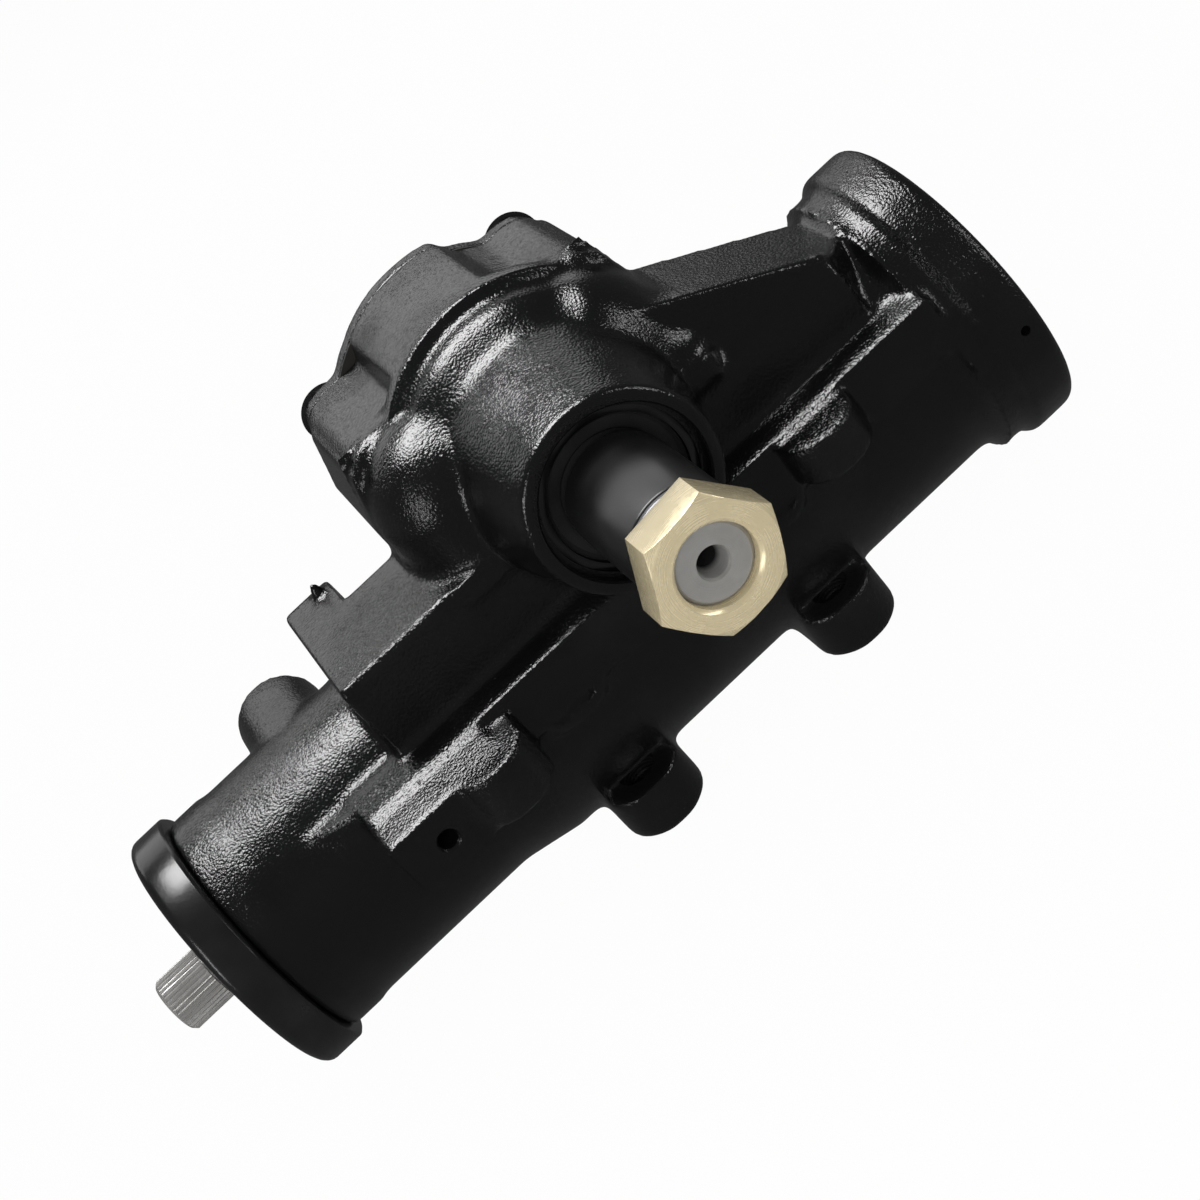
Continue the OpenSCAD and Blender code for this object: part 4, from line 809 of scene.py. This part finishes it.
def boltGroup():
    group, tree, wires = newGroup("flangedBolt", {
        "Flange radius": "NodeSocketFloat", "Flange height": "NodeSocketFloat",
        "Hex radius": "NodeSocketFloat", "Hex height": "NodeSocketFloat",
        "Top chamfer": "NodeSocketFloat", "Material": "NodeSocketMaterial"})

    def frustum(sides, low, high, height, start):
        cone = tree.node("GeometryNodeMeshCone", {}, {
            "Vertices": sides, "Radius Bottom": low, "Radius Top": high, "Depth": height})
        lift = tree.node("ShaderNodeCombineXYZ", {}, {"Z": start})
        return tree.node("GeometryNodeTransform", {}, {"Geometry": cone, "Translation": lift})

    flangeH, hexH, top = wires["Flange height"], wires["Hex height"], wires["Top chamfer"]
    flangeR, hexR, taper = wires["Flange radius"], wires["Hex radius"], coverBolt["flangeTaper"]
    parts = [frustum(48, flangeR, flangeR * taper, flangeH, 0.0),
             frustum(6, hexR, hexR, hexH - top, flangeH * taper),
             frustum(6, hexR, hexR * coverBolt["topTaper"], top, flangeH * taper + hexH - top)]
    head = tree.nodeTree.nodes.new("GeometryNodeJoinGeometry")
    for part in parts:
        tree.nodeTree.links.new(part.socket, head.inputs[0])
    copies = tree.node("GeometryNodeInstanceOnPoints", {}, {
        "Points": tree.node("GeometryNodeMeshToPoints", {}, {"Mesh": wires["Geometry"]}),
        "Instance": Wire(tree, head.outputs[0]), "Rotation": (math.radians(-90), 0, 0)})
    closeGroup(tree, copies, wires["Material"])
    return group


def makeCoverBolts():
    low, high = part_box("side_cover_bolts")
    seatY = high.y - coverBolt["flangeH"] - coverBolt["hexH"]
    inset = coverBolt["flangeR"]
    places = [Vector((x, seatY, z)) for x in (low.x + inset, high.x - inset)
              for z in (low.z + inset, high.z - inset)]
    piece = growPiece("coverBoltHeads", places, boltGroup(), {
        "Flange radius": coverBolt["flangeR"], "Flange height": coverBolt["flangeH"],
        "Hex radius": coverBolt["hexR"], "Hex height": coverBolt["hexH"],
        "Top chamfer": coverBolt["top"], "Material": finishes["black_bolt"]})
    bevel = piece.modifiers.new("edge", "BEVEL")
    bevel.width = coverBolt["edge"]
    bevel.segments = 2
    bevel.limit_method = "ANGLE"
    bakeModifiers(piece)
    shadeByAngle(piece, 32)
    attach(piece, bodyOf["side_cover_bolts"])
    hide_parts("side_cover_bolts")


makeCoverBolts()
print("cover bolts made")


# floor, light and camera
def stagePlane(name, corners):
    mesh = bpy.data.meshes.new(name)
    mesh.from_pydata(corners, [], [(0, 1, 2, 3)])
    plane = newPiece(name, mesh)
    return plane


stageLook = {"floorColor": 0.8, "seenWhite": 1.0, "glossyWhite": 0.1, "shadowShare": 0.03, "half": 6.0,
             "skyLevel": 0.32, "skyGlossyCut": 0.22}


def makeFloor():
    half, base = stageLook["half"], cadLow.z
    plane = stagePlane("floor", [(x * half, y * half, base) for x, y in ((-1, -1), (1, -1), (1, 1), (-1, 1))])
    material, tree = newMaterial("paleFloor")
    path = tree.nodeTree.nodes.new("ShaderNodeLightPath")
    cameraRay = Wire(tree, path.outputs["Is Camera Ray"])
    glossyRay = Wire(tree, path.outputs["Is Glossy Ray"])
    clearRay = Wire(tree, path.outputs["Is Transmission Ray"])
    matte = tree.node("ShaderNodeBsdfDiffuse", {}, {"Color": grey(stageLook["floorColor"])})
    strength = cameraRay * stageLook["seenWhite"] + (glossyRay + clearRay) * stageLook["glossyWhite"]
    glow = tree.node("ShaderNodeEmission", {}, {"Color": grey(1), "Strength": strength})
    lit = tree.clamp(cameraRay * (1 - stageLook["shadowShare"]) + glossyRay + clearRay)
    both = tree.node("ShaderNodeMixShader", {}, {0: lit, 1: matte, 2: glow})
    tree.node("ShaderNodeOutputMaterial", {}, {"Surface": both})
    plane.data.materials.append(material)


def makeWorld():
    world = bpy.data.worlds.new("studio")
    world.use_nodes = True
    world.node_tree.nodes.clear()
    scene.world = world
    tree = Tree(world.node_tree)
    path = tree.nodeTree.nodes.new("ShaderNodeLightPath")
    cameraRay = Wire(tree, path.outputs["Is Camera Ray"])
    glossyRay = Wire(tree, path.outputs["Is Glossy Ray"])
    sky = stageLook["skyLevel"]
    level = sky + cameraRay * (1 - sky) - glossyRay * stageLook["skyGlossyCut"]
    backdrop = tree.node("ShaderNodeBackground", {}, {"Color": grey(1), "Strength": level})
    tree.node("ShaderNodeOutputWorld", {}, {"Surface": backdrop})


def makeLamp(name, place, aim, size, watts):
    data = bpy.data.lights.new(name, "AREA")
    data.shape = "RECTANGLE"
    data.size, data.size_y = size
    data.energy = watts
    lamp = bpy.data.objects.new(name, data)
    scene.collection.objects.link(lamp)
    lamp.location = place
    lamp.rotation_euler = (Vector(aim) - Vector(place)).to_track_quat("-Z", "Y").to_euler()
    return lamp


# each lamp: place, aim, size, watts
lamps = {
    "overheadStrip": ((0.0, 0.25, 0.93), (0.0, 0.0, 0.05), (0.66, 0.38), 13.5),
    "backSoftbox": ((0.0, 1.2, 0.72), (0.0, 0.0, 0.08), (1.8, 0.7), 4.8),
    "leftStrip": ((-1.0, -0.5, 0.45), (0.0, 0.0, 0.05), (0.12, 0.6), 2.2),
    "rightStrip": ((1.0, -0.5, 0.45), (0.0, 0.0, 0.05), (0.12, 0.6), 2.2),
    "frontFill": ((-0.3, -1.1, 0.5), (0.0, 0.0, 0.08), (0.8, 0.6), 9),
}
# the fill is kept out of mirror reflections, and the strip shows only in them
unseenLamps = ["frontFill"]
mirrorLamps = ["overheadStrip"]

# the photograph's view: from the pitman side, raised, with the camera rolled
view = {"azimuth": -2.6, "elevation": 30.0, "roll": 41.95, "distance": 0.79, "right": -0.0232, "up": 0.0013,
        "lens": 72, "sensor": 36}


def makeCamera():
    azimuth, elevation, roll = (math.radians(view[k]) for k in ("azimuth", "elevation", "roll"))
    back = Vector((math.sin(azimuth) * math.cos(elevation), -math.cos(azimuth) * math.cos(elevation),
                   math.sin(elevation)))
    right = Vector((math.cos(azimuth), math.sin(azimuth), 0))
    up = back.cross(right)
    place = wormAxis + right * view["right"] + up * view["up"] + back * view["distance"]
    screenRight = right * math.cos(roll) - up * math.sin(roll)
    screenUp = right * math.sin(roll) + up * math.cos(roll)
    data = bpy.data.cameras.new("camera")
    data.lens = view["lens"]
    data.sensor_width = view["sensor"]
    camera = bpy.data.objects.new("camera", data)
    scene.collection.objects.link(camera)
    turn = Matrix((screenRight, screenUp, back)).transposed().to_4x4()
    camera.matrix_world = Matrix.Translation(place) @ turn
    scene.camera = camera


makeFloor()
makeWorld()
for name, (place, aim, size, watts) in lamps.items():
    lamp = makeLamp(name, place, aim, size, watts)
    lamp.visible_glossy = name not in unseenLamps
    lamp.visible_diffuse = name not in mirrorLamps
makeCamera()
scene.view_settings.view_transform = "Standard"
print("stage set")
